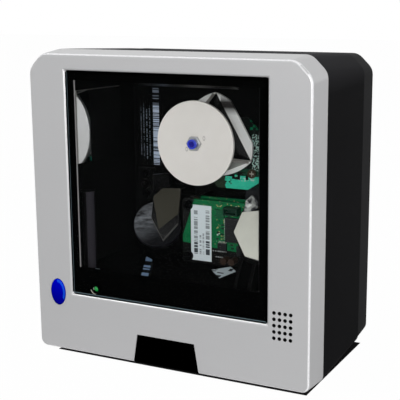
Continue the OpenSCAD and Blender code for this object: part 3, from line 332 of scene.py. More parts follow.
def circuitGreen(name, tone, pale, seed, prints, blackened=False, paintedShades=(), paintedShadeLeft=-99.0):
    f = Finish(name)
    x, d, z = f.axes()
    shifted = f.node("ShaderNodeCombineXYZ", {}, {0: x + seed, 1: z, 2: 0.0}, "Vector")
    runs = f.node("ShaderNodeTexBrick", {"offset": 0.37, "squash": 0.6, "squash_frequency": 3},
                  {"Vector": shifted, "Color1": black, "Color2": grey(0.25), "Mortar": white,
                   "Scale": 0.32, "Mortar Size": 0.05, "Mortar Smooth": 0.2, "Brick Width": 0.9,
                   "Row Height": 0.33}, "Color")
    patches = f.node("ShaderNodeTexVoronoi", {"distance": "MANHATTAN"},
                     {"Vector": shifted, "Scale": 0.16}, "Color")
    pads = f.node("ShaderNodeTexVoronoi", {},
                  {"Vector": shifted, "Scale": 0.42, "Randomness": 1.0}, "Distance")
    planes = f.node("ShaderNodeSeparateColor", {}, {0: patches}, 0) > 0.5
    base = f.mix(planes * 0.5, paint(*tone), paint(*pale))
    base = f.mix(f.level(runs) * 0.35, base, scaled(tone, 1.2))
    base = f.mix(pads < padSpec["ring"], base, paint(150, 150, 110))
    base = f.mix(pads < padSpec["drill"], base, paint(14, 20, 16))
    base = f.mix(x - f.noise(420, 2.0) * 3.0 < paintedShadeLeft, base, paint(46, 60, 46))  # painted shade: darker at its left end
    for height, shade in paintedShades:  # painted shade: the board is darker from each of these heights up
        base = f.mix(z + f.noise(240, 2.0) * 2.0 > height, base, paint(*shade))
    for left, right, low, high, cell, share, ink in prints:  # printed marks in small random cells
        column, row = (x / cell).whole(), (z / (cell * 0.8)).whole()
        spotted = f.node("ShaderNodeCombineXYZ", {}, {0: column, 1: row, 2: seed}, "Vector")
        chance = f.node("ShaderNodeTexWhiteNoise", {"noise_dimensions": "3D"}, {"Vector": spotted}, "Value")
        mask = (chance < share) * f.within(x, left, right) * f.within(z, low, high)
        base = f.mix(mask, base, paint(*ink))
    if blackened:  # painted black on the foot and the left end of the decoder board
        foot = z < blackZoneSpec["foot"] - x * blackZoneSpec["footFall"]
        end = x < (z - blackZoneSpec["endUp"]) * blackZoneSpec["endLean"] - blackZoneSpec["endLeft"]
        onBoard = f.within(d, blackZoneSpec["front"], blackZoneSpec["back"])
        base = f.mix(foot.most(end) * onBoard, base, paint(5, 7, 6))
    return f.surface(Base_Color=base, Roughness=0.42 + planes * 0.08, Specular_IOR_Level=0.18,
                     Normal=f.bump(planes, 0.00002, 0.6))


def barLabel(name, paper, ink, columns, flat=False):
    f = Finish(name)
    x, z = f.axes("xd" if flat else "xz")  # on a label that lies down the bars follow each other backwards
    base = paint(*paper)
    for left, right, low, high, pitch, share, depth in columns:  # each a column of bars of random widths
        cell = (z / pitch).whole()
        chance = f.node("ShaderNodeTexWhiteNoise", {"noise_dimensions": "1D"}, {"W": cell + left}, "Value")
        mask = (chance < share) * f.within(x, left, right) * f.within(z, low, high) * depth
        base = f.mix(mask, base, paint(*ink))
    return f.surface(Base_Color=base, Roughness=0.5 + f.noise(900) * 0.1, Specular_IOR_Level=0.06)


domeSpec = {"x": -63.8, "z": 31.2, "half": 4.5, "tall": 7.0, "gleam": (0.76, 0.95), "lean": 0.6,
            "litFrom": 0.45}


def domedBlue():  # the oval push button: a painted highlight near its upper right rim and painted shade, darker blue toward its foot
    f = Finish("buttonBlue")
    x, z = f.axes("xz")
    right, rise = (x - domeSpec["x"]) / domeSpec["half"], (z - domeSpec["z"]) / domeSpec["tall"]
    rim = f.within((right * right + rise * rise).root(), *domeSpec["gleam"])
    base = f.mix((rise * 0.5 + 0.5).clamped(), paint(0, 1, 118), paint(2, 12, 178))
    lit = right + rise * domeSpec["lean"] > domeSpec["litFrom"]
    base = f.mix(rim * lit * 0.35, base, paint(40, 110, 240))
    return f.surface(Base_Color=base, Roughness=0.4 + f.noise(2400, 2.0) * 0.08, Specular_IOR_Level=0.0)


streakSpec = {"x": -45.0, "z": 61.0, "squeeze": 0.6, "reach": 13.0, "slant": 35, "draw": 3.5}


def reflectionStreakMirror():  # a hollow mirror with painted pale streaks, painted blurred reflections that fade out from its middle
    f = Finish("reflectionStreakMirror")
    x, z = f.axes("xz")
    right, rise = x - streakSpec["x"], z - streakSpec["z"]
    away = (right * right * streakSpec["squeeze"] + rise * rise).root()
    slant = f.node("ShaderNodeMapping", {},
                   {"Vector": f.coords, "Rotation": (0, radians(streakSpec["slant"]), 0),
                    "Scale": (1, 1, streakSpec["draw"])}, "Vector")
    paintedStreak = f.noise(190.0, 3.0, along=slant)
    glow = (1.0 - away / streakSpec["reach"]).clamped()
    base = f.mix(f.fade(paintedStreak, 0.3, 0.75) * glow, paint(30, 30, 33), paint(150, 154, 160))
    return f.surface(Base_Color=base, Roughness=0.3 + paintedStreak * 0.2, Specular_IOR_Level=0.2)


def glowLens():
    f = Finish("greenLens")
    return f.surface(Base_Color=f.mix(f.noise(700), paint(42, 150, 74), paint(30, 120, 58)), Roughness=0.18,
                     Emission_Color=paint(30, 150, 62), Emission_Strength=0.35)


def weave(threads=14):
    f = Finish("speakerWeave")
    x, z = f.axes("xz")
    cloth = (x * threads).sine() * (z * threads).sine()
    return f.surface(Base_Color=f.mix(cloth * 0.5 + 0.5, grey(0.002), grey(0.012)), Roughness=0.9,
                     Normal=f.bump(cloth, 0.0001))


finishes = {
    "bezel_silver": silverPaint(),
    # the last tone of the housing is painted light along its top
    "housing_black": mouldedBlack("housingBlack", (17, 17, 18), 0.55, 0.009, (46, 46, 48)),
    "insert_black": mouldedBlack("insertBlack", (1, 1, 1), 0.6, 0.0),
    "foot_rubber": mouldedBlack("footRubber", (38, 38, 38), 0.72, 0.16),
    "gasket_black": dullBlack("gasketBlack", 0.0003, 0.7, 0.0),
    "tub_black": dullBlack("tubBlack", 0.0009, 0.5, 0.02),
    "socket_black": mouldedBlack("socketBlack", (30, 30, 32), 0.4, 0.2),
    "speaker_black": mouldedBlack("speakerBlack", (36, 36, 38), 0.5, 0.2),
    "speaker_cloth": weave(),
    "window_glass": windowPane(),
    "lens_glass": plainPlastic("lensGlass", (170, 190, 200), 0.08, coat=0.6),
    "mirror": silvered("silveredFace", (232, 234, 235), 0.015),
    "button_blue": domedBlue(),
    "plunger_ivory": plainPlastic("plungerIvory", (214, 208, 194), 0.4),
    "led_green": glowLens(),
    "photodiode_red": plainPlastic("photodiodeRed", (9, 3, 5), 0.3, 0.1, 0.1),
    "chip_black": tintedChip("chipBlack", (26, 27, 30), (14, 82, 52)),
    "connector_black": plainPlastic("connectorBlack", (16, 52, 39), 0.45, 0.2, 0.2),
    "board_black": plainPlastic("boardBlack", (9, 10, 10), 0.5, 0.2, 0.1),
    "capacitor_brown": plainPlastic("capacitorBrown", (56, 42, 34), 0.35, 0.2, 0.3),
    "ribbon_grey": plainPlastic("ribbonGrey", (38, 39, 43), 0.4, 0.15, 0.2),
    "disc_cream": turnedDisc("turnedDisc", (250, 245, 239), (243, 237, 231), 0.05, 0.36),
    "plate_polished": turnedDisc("turnedPlate", (255, 255, 253), (251, 251, 248), 0.05, 0.3, shaded=True),
    "core_black": plainPlastic("coreBlack", (14, 14, 14), 0.5, 0.2, 0.1),
    "hub_blue": plainPlastic("hubBlue", (34, 60, 226), 0.25, coat=0.3),
    "board_green": circuitGreen("decoderGreen", (12, 98, 58), (20, 118, 72), 3.0,
                                [(8.0, 28.0, 54.0, 77.0, 0.7, 0.045, (190, 176, 120)),
                                 (8.0, 28.0, 54.0, 77.0, 0.9, 0.04, (200, 214, 205))], blackened=True),
    # painted shade on the motor board: darker from 88.9 and 93 mm up and at its left end
    "motor_board_green": circuitGreen("motorGreen", (58, 204, 168), (72, 216, 182), 11.0,
                                      [(18.2, 22.2, 91.0, 110.6, 0.55, 0.42, (188, 222, 212)),
                                       (10.0, 19.7, 84.9, 87.0, 0.6, 0.4, (188, 222, 212)),
                                       (-8.0, 6.0, 82.0, 86.5, 1.1, 0.3, (38, 52, 40)),
                                       (2.0, 16.0, 85.6, 90.0, 1.6, 0.55, (12, 20, 15)),
                                       (16.0, 21.4, 112.4, 118.2, 1.7, 0.42, (12, 116, 78))],
                                      paintedShades=((88.9, (26, 66, 48)), (93.0, (4, 14, 11))), paintedShadeLeft=0.8),
    "screw_steel": bareMetal("screwSteel", (190, 192, 194), 0.24),
    "screw_black": bareMetal("screwBlack", (16, 16, 18), 0.5),
    "brass": bareMetal("brass", (196, 158, 92), 0.26),
    "contact_gold": bareMetal("contactGold", (222, 180, 96), 0.18),
    "laser_alloy": bareMetal("laserAlloy", (150, 152, 156), 0.34),
    "stator_steel": bareMetal("statorSteel", (140, 142, 146), 0.36),
    "coil_copper": bareMetal("coilCopper", (186, 106, 56), 0.3, (1, 8, 1)),
    "shaft_steel": bareMetal("shaftSteel", (205, 207, 210), 0.14),
    "rotor_steel": bareMetal("rotorSteel", (160, 162, 166), 0.26),
    "magnet_grey": bareMetal("magnetGrey", (74, 74, 78), 0.5),
    "nut_steel": bareMetal("nutSteel", (188, 190, 193), 0.24),
    "sticker_pale": barLabel("paperLabel", (228, 238, 242), (52, 58, 64),
                             [(-5.2, -3.0, 56.0, 72.5, 0.36, 0.64, 0.62),
                              (-5.2, -3.0, 48.5, 56.0, 0.4, 0.66, 0.95),
                              (1.7, 4.0, 56.0, 72.5, 0.36, 0.64, 0.62),
                              (1.7, 4.0, 48.5, 56.0, 0.4, 0.66, 0.95),
                              (-2.0, -0.9, 48.5, 60.0, 0.34, 0.55, 0.6),
                              (-0.2, 0.8, 48.5, 60.0, 0.34, 0.55, 0.5)]),
    "sticker_dark": barLabel("wallLabel", (0, 0, 1), (196, 210, 232),
                             [(-44.9, -41.0, 89.0, 124.0, 9.0, 1.0, 0.16),
                              (-44.9, -41.0, 89.0, 122.0, 0.36, 0.62, 0.95),
                              (-44.9, -41.0, 122.0, 132.0, 0.5, 0.3, 0.4),
                              (-47.4, -46.8, 92.0, 122.0, 0.3, 0.6, 0.3),
                              (-49.3, -48.7, 92.0, 120.0, 0.34, 0.6, 0.34),
                              (-51.2, -50.6, 92.0, 123.0, 0.3, 0.6, 0.26),
                              (-52.9, -52.4, 94.0, 121.0, 0.32, 0.55, 0.26)]),
}
coverBlack = mouldedBlack("coverBlack", (26, 26, 27), 0.5, 0.024)
paneEdge = paleEdge("paneEdge", (112, 132, 140), 0.45)
mirrorEdge = paleEdge("mirrorEdge", (190, 186, 180), 0.35)
mirrorBack = plainPlastic("mirrorBack", (30, 31, 32), 0.5)
blackReflection = dullBlack("blackReflection", 0.0016, 0.12, 0.03)
greyMirror = silvered("greyMirror", (124, 126, 120), 0.06)
dimMirror = silvered("dimMirror", (214, 218, 223), 0.015)
unlitMirror = dullBlack("unlitMirror", 0.0008, 0.4, 0.02)
edgeMid = paleEdge("edgeMid", (116, 114, 110), 0.4)
edgeDark = paleEdge("edgeDark", (40, 40, 40), 0.5)
ridgeHighlight = paleEdge("ridgeHighlight", (230, 230, 232), 0.35)
screwBronze = bareMetal("screwBronze", (84, 72, 58), 0.35)
paleGlint = paleEdge("paleGlint", (196, 190, 178), 0.4)
clipSteel = streakMetal("clipSteel", (16, 21, 28), (158, 160, 156))
leadTin = bareMetal("leadTin", (200, 202, 202), 0.3)
# painted reflections: plain paints in the tones that the lower, top and fold mirrors reflect
creamReflection = plainPlastic("creamReflection", (214, 214, 203), 0.2, 0.06, 0.3)
bronzeReflection = plainPlastic("bronzeReflection", (74, 72, 64), 0.3, 0.12, 0.1)
darkReflection = plainPlastic("darkReflection", (24, 24, 25), 0.22, 0.2, 0.25)
paleSealSide = paleEdge("paleSealSide", (176, 172, 172), 0.7)
rimBlack = dullBlack("rimBlack", 0.0012, 0.6, 0.02)
floorGloss = dullBlack("floorGloss", 0.0004, 0.6, 0.0)
bossHighlight = plainPlastic("bossHighlight", (48, 46, 51), 0.5, 0.15, 0.05)
plugBlue = plainPlastic("plugBlue", (16, 14, 150), 0.3, 0.1, 0.3)

slotOf = {entry["node"]: entry["material_slot"] for entry in frame["record"]["subparts"]}
for name, obj in nodes.items():
    for place in obj.material_slots:
        place.material = finishes[slotOf[name]]
nodes["fold_mirror"].material_slots[0].material = darkReflection
nodes["collecting_mirror"].material_slots[0].material = reflectionStreakMirror()

print("stage: pieces")


def mode(kind):
    bpy.ops.object.mode_set(mode=kind)


def lone(obj):
    bpy.ops.object.select_all(action="DESELECT")
    obj.select_set(True)
    bpy.context.view_layer.objects.active = obj


def fixed():  # place, turn and size of the selected object go into its mesh
    bpy.ops.object.transform_apply(location=True, rotation=True, scale=True)


def wear(obj, *materials):
    for material in materials:
        obj.data.materials.append(material)


def linked(name, mesh):
    obj = bpy.data.objects.new(name, mesh)
    scene.collection.objects.link(obj)
    return obj


cleanSpec = {"weld": 0.002, "flat": 0.6}


def cleanCopy(name, node, *materials):  # a copy of a node with its loose triangles merged into faces
    obj = linked(name, nodes[node].data.copy())
    obj.data.materials.clear()
    lone(obj)
    bpy.ops.mesh.customdata_custom_splitnormals_clear()
    mode("EDIT")
    bpy.ops.mesh.select_all(action="SELECT")
    bpy.ops.mesh.remove_doubles(threshold=cleanSpec["weld"] * mm)
    bpy.ops.mesh.dissolve_limited(angle_limit=radians(cleanSpec["flat"]))
    bpy.ops.mesh.select_all(action="DESELECT")
    mode("OBJECT")
    wear(obj, *materials)
    return obj


def breakEdges(obj, width, limit=50, segments=2):
    mod = obj.modifiers.new("edgeBreak", "BEVEL")
    mod.width = width * mm
    mod.segments = segments
    mod.limit_method = "ANGLE"
    mod.angle_limit = radians(limit)
    lone(obj)
    bpy.ops.object.modifier_apply(modifier=mod.name)


def settle(obj, node, body, smooth=32):
    lone(obj)
    bpy.ops.object.shade_smooth_by_angle(angle=radians(smooth))
    mod = obj.modifiers.new("evenShade", "WEIGHTED_NORMAL")  # large flat faces keep their own shading
    mod.keep_sharp = True
    bpy.ops.object.modifier_apply(modifier=mod.name)
    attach(obj, body)
    if node:
        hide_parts(node)
    return obj


def pick(obj, kind, test):  # selects what passes the test and stays in edit mode
    lone(obj)
    mode("EDIT")
    bpy.ops.mesh.select_mode(type=kind)
    bpy.ops.mesh.select_all(action="DESELECT")
    mode("OBJECT")
    for part in {"EDGE": obj.data.edges, "FACE": obj.data.polygons}[kind]:
        part.select = bool(test(part))
    mode("EDIT")


def every(part):
    return True


def ends(obj, edge):
    return [spot(obj.data.vertices[i].co) for i in edge.vertices]


def bevelPicked(width, segments):
    bpy.ops.mesh.bevel(offset=width * mm, offset_type="OFFSET", segments=segments, affect="EDGES")
    mode("OBJECT")


def score(obj, test, place, way, **choices):  # cuts the picked faces along a plane
    pick(obj, "FACE", test)
    bpy.ops.mesh.bisect(plane_co=place, plane_no=way, **choices)
    mode("OBJECT")


def faceOut(obj):
    lone(obj)
    mode("EDIT")
    bpy.ops.mesh.select_all(action="SELECT")
    bpy.ops.mesh.normals_make_consistent(inside=False)
    mode("OBJECT")


opening = {"half": 55.0, "low": 31.2, "high": 146.7, "corner": 1.2, "lip": 0.45, "edge": 0.22}
grilleSpec = {"x": 62.9, "z": 31.2, "wide": 5.4, "tall": 7.4, "hole": 0.7, "across": 2.8, "up": 3.1,
              "columns": 4, "rows": 5, "flare": 0.22}
bezelSpec = {"rim": 0.6, "rimBack": 0.42, "notchHalf": 22, "notchTop": 17, "ridgeBack": 1.15,
             "ridgeSide": 73, "ridgeTop": 151, "ridgeFoot": 3, "slope": (0.3, 0.94), "flat": 0.97}
bezel = cleanCopy("bezelShell", "front_bezel", finishes["bezel_silver"], rimBlack, ridgeHighlight)


def atCorner(x, z):
    heightGap = min(abs(z - opening[end]) for end in ("low", "high"))
    return abs(abs(x) - opening["half"]) < close and heightGap < close


def inOpening(x, z, margin):
    return abs(x) < opening["half"] + margin and opening["low"] - margin < z < opening["high"] + margin


def byGrille(x, z):
    return abs(x - grilleSpec["x"]) < grilleSpec["wide"] and abs(z - grilleSpec["z"]) < grilleSpec["tall"]


holes = [(grilleSpec["x"] + (column - (grilleSpec["columns"] - 1) / 2) * grilleSpec["across"],
          grilleSpec["z"] + (row - (grilleSpec["rows"] - 1) / 2) * grilleSpec["up"])
         for column in range(grilleSpec["columns"]) for row in range(grilleSpec["rows"])]


def onHole(edge):  # an edge on the front rim of one speaker hole
    places = ends(bezel, edge)
    return any(all(d < close and abs(hypot(x - a, z - b) - grilleSpec["hole"]) < close * 2
                   for x, d, z in places) for a, b in holes)


def onLip(edge):  # an edge on the front rim of the window opening
    return all(d < close and inOpening(x, z, close * 2) for x, d, z in ends(bezel, edge))


pick(bezel, "EDGE", lambda edge: all(atCorner(x, z) for x, d, z in ends(bezel, edge)))
bevelPicked(opening["corner"], segments=4)
pick(bezel, "EDGE", onLip)
bevelPicked(opening["lip"], segments=3)
pick(bezel, "EDGE", onHole)
bevelPicked(grilleSpec["flare"], segments=1)
breakEdges(bezel, opening["edge"])
steep, shallow = bezelSpec["slope"]
for part in bezel.data.polygons:
    x, d, z = spot(part.center)
    facing = abs(part.normal.y)
    rim = inOpening(x, z, bezelSpec["rim"]) and d > bezelSpec["rimBack"] and facing < steep
    bored = byGrille(x, z) and facing < bezelSpec["flat"]
    beyond = (abs(x) - bezelSpec["ridgeSide"], z - bezelSpec["ridgeTop"], bezelSpec["ridgeFoot"] - z)
    notch = abs(x) < bezelSpec["notchHalf"] and z < bezelSpec["notchTop"]
    # painted highlight: the rounded front edge of the bezel is painted paler than the face
    ridge = max(beyond) > 0 and not notch and d < bezelSpec["ridgeBack"] and steep < facing < shallow
    part.material_index = 1 if rim or bored else (2 if ridge else 0)
settle(bezel, "front_bezel", "housing")

shells = {
    "housingShell": {"node": "main_housing", "edge": 0.3, "finish": finishes["housing_black"]},
    "coverShell": {"node": "rear_cover", "edge": 0.35, "finish": coverBlack},
    "notchPlate": {"node": "notch_insert", "edge": 0.2, "finish": finishes["insert_black"]},
    "socketShell": {"node": "interface_socket", "edge": 0.3, "finish": finishes["socket_black"]},
}
for name, spec in shells.items():
    shell = cleanCopy(name, spec["node"], spec["finish"])
    breakEdges(shell, spec["edge"])
    settle(shell, spec["node"], "housing")

tubSpec = {"floor": 42.0, "bossX": 54.0, "bossBack": 15.5, "bossReach": 4.4, "bossTop": 84.0, "edge": 0.2,
           "litWay": (0.82, -0.57, 0), "litShare": 0.84}
tub = cleanCopy("tubShell", "optical_tub", finishes["tub_black"], floorGloss, bossHighlight)
breakEdges(tub, tubSpec["edge"])
for part in tub.data.polygons:
    x, d, z = spot(part.center)
    onBoss = hypot(abs(x) - tubSpec["bossX"], d - tubSpec["bossBack"]) < tubSpec["bossReach"]
    lit = part.normal.dot(Vector(tubSpec["litWay"])) > tubSpec["litShare"]
    if part.normal.z > square and abs(z - tubSpec["floor"]) < close * 2:
        part.material_index = 1
    # painted highlight: the boss faces that turn toward the right front are painted grey
    elif onBoss and lit and z < tubSpec["bossTop"]:
        part.material_index = 2
settle(tub, "optical_tub", "housing")

buttonDome = cleanCopy("buttonDome", "button_cap", finishes["button_blue"])
settle(buttonDome, "button_cap", "button", smooth=40)

paneSpec = {"front": 0.6, "chamfer": 0.6, "paleLeft": -53.6, "paleFoot": 32.6, "slope": (0.3, 0.95)}
pane = cleanCopy("windowPaneGlass", "window_glass", finishes["window_glass"], paneEdge,
                 finishes["gasket_black"])
pick(pane, "EDGE", lambda edge: all(abs(d - paneSpec["front"]) < close for x, d, z in ends(pane, edge)))
bevelPicked(paneSpec["chamfer"], segments=1)
steep, shallow = paneSpec["slope"]
for part in pane.data.polygons:
    facing = abs(part.normal.y)
    x, d, z = spot(part.center)
    lit = steep < facing and (x < paneSpec["paleLeft"] or z < paneSpec["paleFoot"])  # painted highlight: only the left and lower chamfers are pale, the other chamfers and the sides black
    part.material_index = 0 if facing > shallow else (1 if lit else 2)
settle(pane, "window_glass", "housing")

sealSpec = {"inner": 52.5}
# the inner side walls of the seal are painted pale grey
frameSeal = cleanCopy("frameSeal", "window_gasket", finishes["gasket_black"], paleSealSide)
for part in frameSeal.data.polygons:
    inner = abs(part.normal.x) > square and abs(part.center.x) < sealSpec["inner"] * mm
    part.material_index = 1 if inner else 0
settle(frameSeal, "window_gasket", "housing")


def mirrorGlass(name, node, facing, face, edge=mirrorEdge, chamfer=0.0):
    obj = cleanCopy(name, node, face, edge, mirrorBack)  # silvered face, ground edges, painted back
    largest = max(part.area for part in obj.data.polygons)
    if chamfer:
        broad = max(obj.data.polygons, key=lambda part: part.area * part.normal.dot(facing))
        rim = set(broad.edge_keys)
        pick(obj, "EDGE", lambda line: line.key in rim)
        bevelPicked(chamfer, segments=1)
    for part in obj.data.polygons:
        broad = part.area > largest * 0.5
        part.material_index = (0 if part.normal.dot(facing) > 0 else 2) if broad else 1
    return settle(obj, node, "housing")


def onFace(part):  # the silvered side of a mirror
    return part.material_index == 0


front = Vector((0, -1, 0.2))  # the way both lower mirrors face
leftSpec = {"split": (-50.5, 14.9, 118.0), "turn": 11}  # behind the split the left mirror is unlit
leftGlass = mirrorGlass("leftMirrorGlass", "left_mirror", Vector((1, 0, 0)), dimMirror)
wear(leftGlass, unlitMirror)
along = Vector((sin(radians(leftSpec["turn"])), cos(radians(leftSpec["turn"])), 0))
score(leftGlass, onFace, at(*leftSpec["split"]), along)
for part in leftGlass.data.polygons:
    if onFace(part) and (part.center - at(*leftSpec["split"])).dot(along) > 0:
        part.material_index = 3
mirrorGlass("rightMirrorGlass", "right_mirror", Vector((-1, 0, 0)), finishes["mirror"])
mirrorGlass("topMirrorGlass", "top_mirror", Vector((0, -0.3, -1)), darkReflection, edgeDark)
mirrorGlass("lowerRightGlass", "lower_right_mirror", front, creamReflection)

lowSpec = {"at": (-23, 44, 72), "pitch": -40, "yaw": 20, "chamfer": 0.12, "litBelow": 66.0,
           "cuts": (((-7.69, 5.02), (-2.8, -13.87)), ((-2.8, -13.87), (6.42, -4.91)))}
lowLeft = mirrorGlass("lowerLeftGlass", "lower_left_mirror", front, bronzeReflection, edgeMid,
                      lowSpec["chamfer"])
wear(lowLeft, darkReflection, edgeDark)
for part in lowLeft.data.polygons:  # only the lowest ground edges catch light
    if part.material_index == 1 and spot(part.center)[2] > lowSpec["litBelow"]:
        part.material_index = 4
lean = Matrix.Rotation(radians(lowSpec["yaw"]), 3, "Z") @ Matrix.Rotation(radians(lowSpec["pitch"]), 3, "X")
sides = []
for (x0, z0), (x1, z1) in lowSpec["cuts"]:  # two lines across the face part the lit from the dark area
    point = at(*lowSpec["at"]) + lean @ Vector((x0, 0, z0)) * mm
    inward = (lean @ Vector((z0 - z1, 0, x1 - x0))).normalized()
    score(lowLeft, onFace, point, inward)
    sides.append((point, inward))
for part in lowLeft.data.polygons:
    if onFace(part) and any((part.center - point).dot(inward) < 0 for point, inward in sides):
        part.material_index = 3

facetSpec = {"edgeShare": 0.2, "level": 0.8}
facets = cleanCopy("facetGlass", "mirror_facets", blackReflection, mirrorEdge, greyMirror)
broadest = max(part.area for part in facets.data.polygons)
# painted reflection: the broad facets are painted black for the dark they reflect, the lowest is a dimmed
# grey mirror
for part in facets.data.polygons:
    edge = part.area < broadest * facetSpec["edgeShare"]
    lowest = abs(part.normal.z) > facetSpec["level"]
    part.material_index = 1 if edge else (2 if lowest else 0)
settle(facets, "mirror_facets", "wheel")

coreSpec = {"edge": 0.15, "collarBack": 38.85}
core = cleanCopy("wheelCore", "wheel_core", finishes["core_black"], finishes["nut_steel"])
breakEdges(core, coreSpec["edge"], limit=40)
for part in core.data.polygons:
    part.material_index = 1 if spot(part.center)[1] < coreSpec["collarBack"] else 0
settle(core, "wheel_core", "wheel")

hubs = {"hubNut": {"node": "hub_nut", "edge": 0.35}, "hubCap": {"node": "hub_cap", "edge": 0.4},
        "frontDisc": {"node": "front_disc", "edge": 0.2}, "rearPlate": {"node": "rear_disc", "edge": 0.15}}
flatSpec = {"turn": 30, "inward": 17.65, "back": 56.7}  # the rear plate has one side ground flat
for name, spec in hubs.items():
    turned = cleanCopy(name, spec["node"], finishes[slotOf[spec["node"]]])
    if name == "rearPlate":
        outward = Vector((cos(radians(flatSpec["turn"])), 0, sin(radians(flatSpec["turn"]))))
        score(turned, every, at(0, flatSpec["back"], wheelUp) + outward * flatSpec["inward"] * mm, outward,
              use_fill=True, clear_outer=True)
    breakEdges(turned, spec["edge"])
    settle(turned, spec["node"], "wheel")

plugSpec = {"radius": 1.46, "sides": 40, "front": 30.1, "back": 30.4, "rim": 0.5, "dish": 0.12}
bpy.ops.object.select_all(action="DESELECT")
bpy.ops.mesh.primitive_cylinder_add(vertices=plugSpec["sides"], radius=plugSpec["radius"] * mm,
                                    depth=(plugSpec["back"] - plugSpec["front"]) * mm,
                                    location=at(0, (plugSpec["front"] + plugSpec["back"]) / 2, wheelUp),
                                    rotation=(radians(90), 0, 0))
plug = bpy.context.object
plug.name = "shaftPlug"
fixed()
pick(plug, "FACE", lambda part: part.normal.y < -square)
bpy.ops.mesh.inset(thickness=plugSpec["rim"] * mm)
bpy.ops.transform.translate(value=(0, plugSpec["dish"] * mm, 0))
mode("OBJECT")
wear(plug, plugBlue)
settle(plug, None, "wheel")


def block(size, place=(0, 0, 0)):  # a box with its size in millimetres and its place in metres
    bpy.ops.object.select_all(action="DESELECT")
    bpy.ops.mesh.primitive_cube_add(size=1, location=place)
    obj = bpy.context.object
    obj.scale = Vector(size) * mm
    return obj


recessSpec = {"long": 2.9, "deep": 1.4, "wide": 0.75, "headArea": 9, "headFlat": 0.99}


def crossHeads(name, node, facing, *materials):  # a cross recess in every screw head of a node
    obj = cleanCopy(name, node, *materials)
    least = recessSpec["headArea"] * mm * mm
    tops = [part.center.copy() for part in obj.data.polygons
            if part.normal.y * facing > recessSpec["headFlat"] and part.area > least]
    long, deep, wide = (recessSpec[k] for k in ("long", "deep", "wide"))
    bars = [block(size, top) for top in tops for size in ((long, deep, wide), (wide, deep, long))]
    if bars:
        for bar in bars:
            bar.select_set(True)
        bpy.ops.object.join()
        cutter = bpy.context.object
        mod = obj.modifiers.new("recess", "BOOLEAN")
        mod.operation = "DIFFERENCE"
        mod.object = cutter
        mod.use_self = True
        lone(obj)
        bpy.ops.object.modifier_apply(modifier=mod.name)
        bpy.data.objects.remove(cutter)
    return obj


screws = {
    "coverScrews": {"node": "cover_screws", "facing": 1},
    "boardScrews": {"node": "board_screws", "facing": -1, "split": -30.0, "sunk": (0.3, 1.2),
                    "recessArea": 3},
    "stackScrews": {"node": "stack_screws", "facing": -1},
}
for name, spec in screws.items():
    heads = crossHeads(name, spec["node"], spec["facing"], finishes[slotOf[spec["node"]]])
    if "split" in spec:  # bronze on the motor board, black on the detector board; a painted glint in the motor board screws' recesses
        wear(heads, finishes["screw_black"], screwBronze, paleGlint)
        split = spec["split"] * mm
        crown = min(part.center.y for part in heads.data.polygons if part.center.x > split)
        upper, lower = (crown + depth * mm for depth in spec["sunk"])
        for part in heads.data.polygons:
            sunk = part.normal.y < -square and upper < part.center.y < lower
            recess = sunk and part.area < spec["recessArea"] * mm * mm
            part.material_index = 1 if part.center.x < split else (3 if recess else 2)
    settle(heads, spec["node"], "housing")


def spread(name, master, places, slot, *materials):  # one modelled bit, copied to its places on the housing
    twins = []
    for place in places:
        twin = master.copy()
        twin.data = master.data.copy()
        scene.collection.objects.link(twin)
        twin.location = at(*place)
        twins.append(twin)
    bpy.data.objects.remove(master)
    lone(twins[0])
    for twin in twins:
        twin.select_set(True)
    bpy.ops.object.join()
    obj = bpy.context.object
    obj.name = name
    fixed()
    obj.data.materials.clear()
    wear(obj, *materials)
    settle(obj, None, "housing")


def bit(size, edge):  # a small block around the origin with broken edges
    obj = block(size)
    fixed()
    pick(obj, "EDGE", every)
    bevelPicked(edge, segments=2)
    return obj


def row(first, step, count, back):  # evenly spaced places on a board
    return [(first[0] + k * step[0], back, first[1] + k * step[1]) for k in range(count)]


leadSpec = {"wide": 0.4, "thick": 0.18, "length": 0.36, "steps": ((0.15, 0.55), (0.55, 0.0)), "back": 41.3}


def lead(way):  # bent pin of a chip: out of its side, down to the board, and a foot
    wide, thick, length = (leadSpec[k] for k in ("wide", "thick", "length"))
    obj = block((wide if way[0] else length, thick, length if way[0] else wide))
    fixed()
    outward = Vector((way[0], 0, way[1]))

    def tip(part):
        furthest = max(other.center.dot(outward) for other in obj.data.polygons)
        return part.normal.dot(outward) > square and part.center.dot(outward) == furthest

    for out, back in leadSpec["steps"]:
        pick(obj, "FACE", tip)
        move = outward * out * mm + Vector((0, back, 0)) * mm
        bpy.ops.mesh.extrude_region_move(TRANSFORM_OT_translate={"value": move})
        mode("OBJECT")
    return obj


leads = {
    "bigChipLeft": {"way": (-1, 0), "first": (13.4, 58.2), "step": (0, 0.97), "count": 12},
    "bigChipRight": {"way": (1, 0), "first": (22.6, 58.2), "step": (0, 0.97), "count": 12},
    "smallChipTop": {"way": (0, 1), "first": (9.6, 56.1), "step": (0.8, 0), "count": 6},
    "smallChipFoot": {"way": (0, -1), "first": (9.6, 51.9), "step": (0.8, 0), "count": 6},
}
for name, spec in leads.items():
    places = row(spec["first"], spec["step"], spec["count"], leadSpec["back"])
    spread(name, lead(spec["way"]), places, "contact_gold", leadTin)

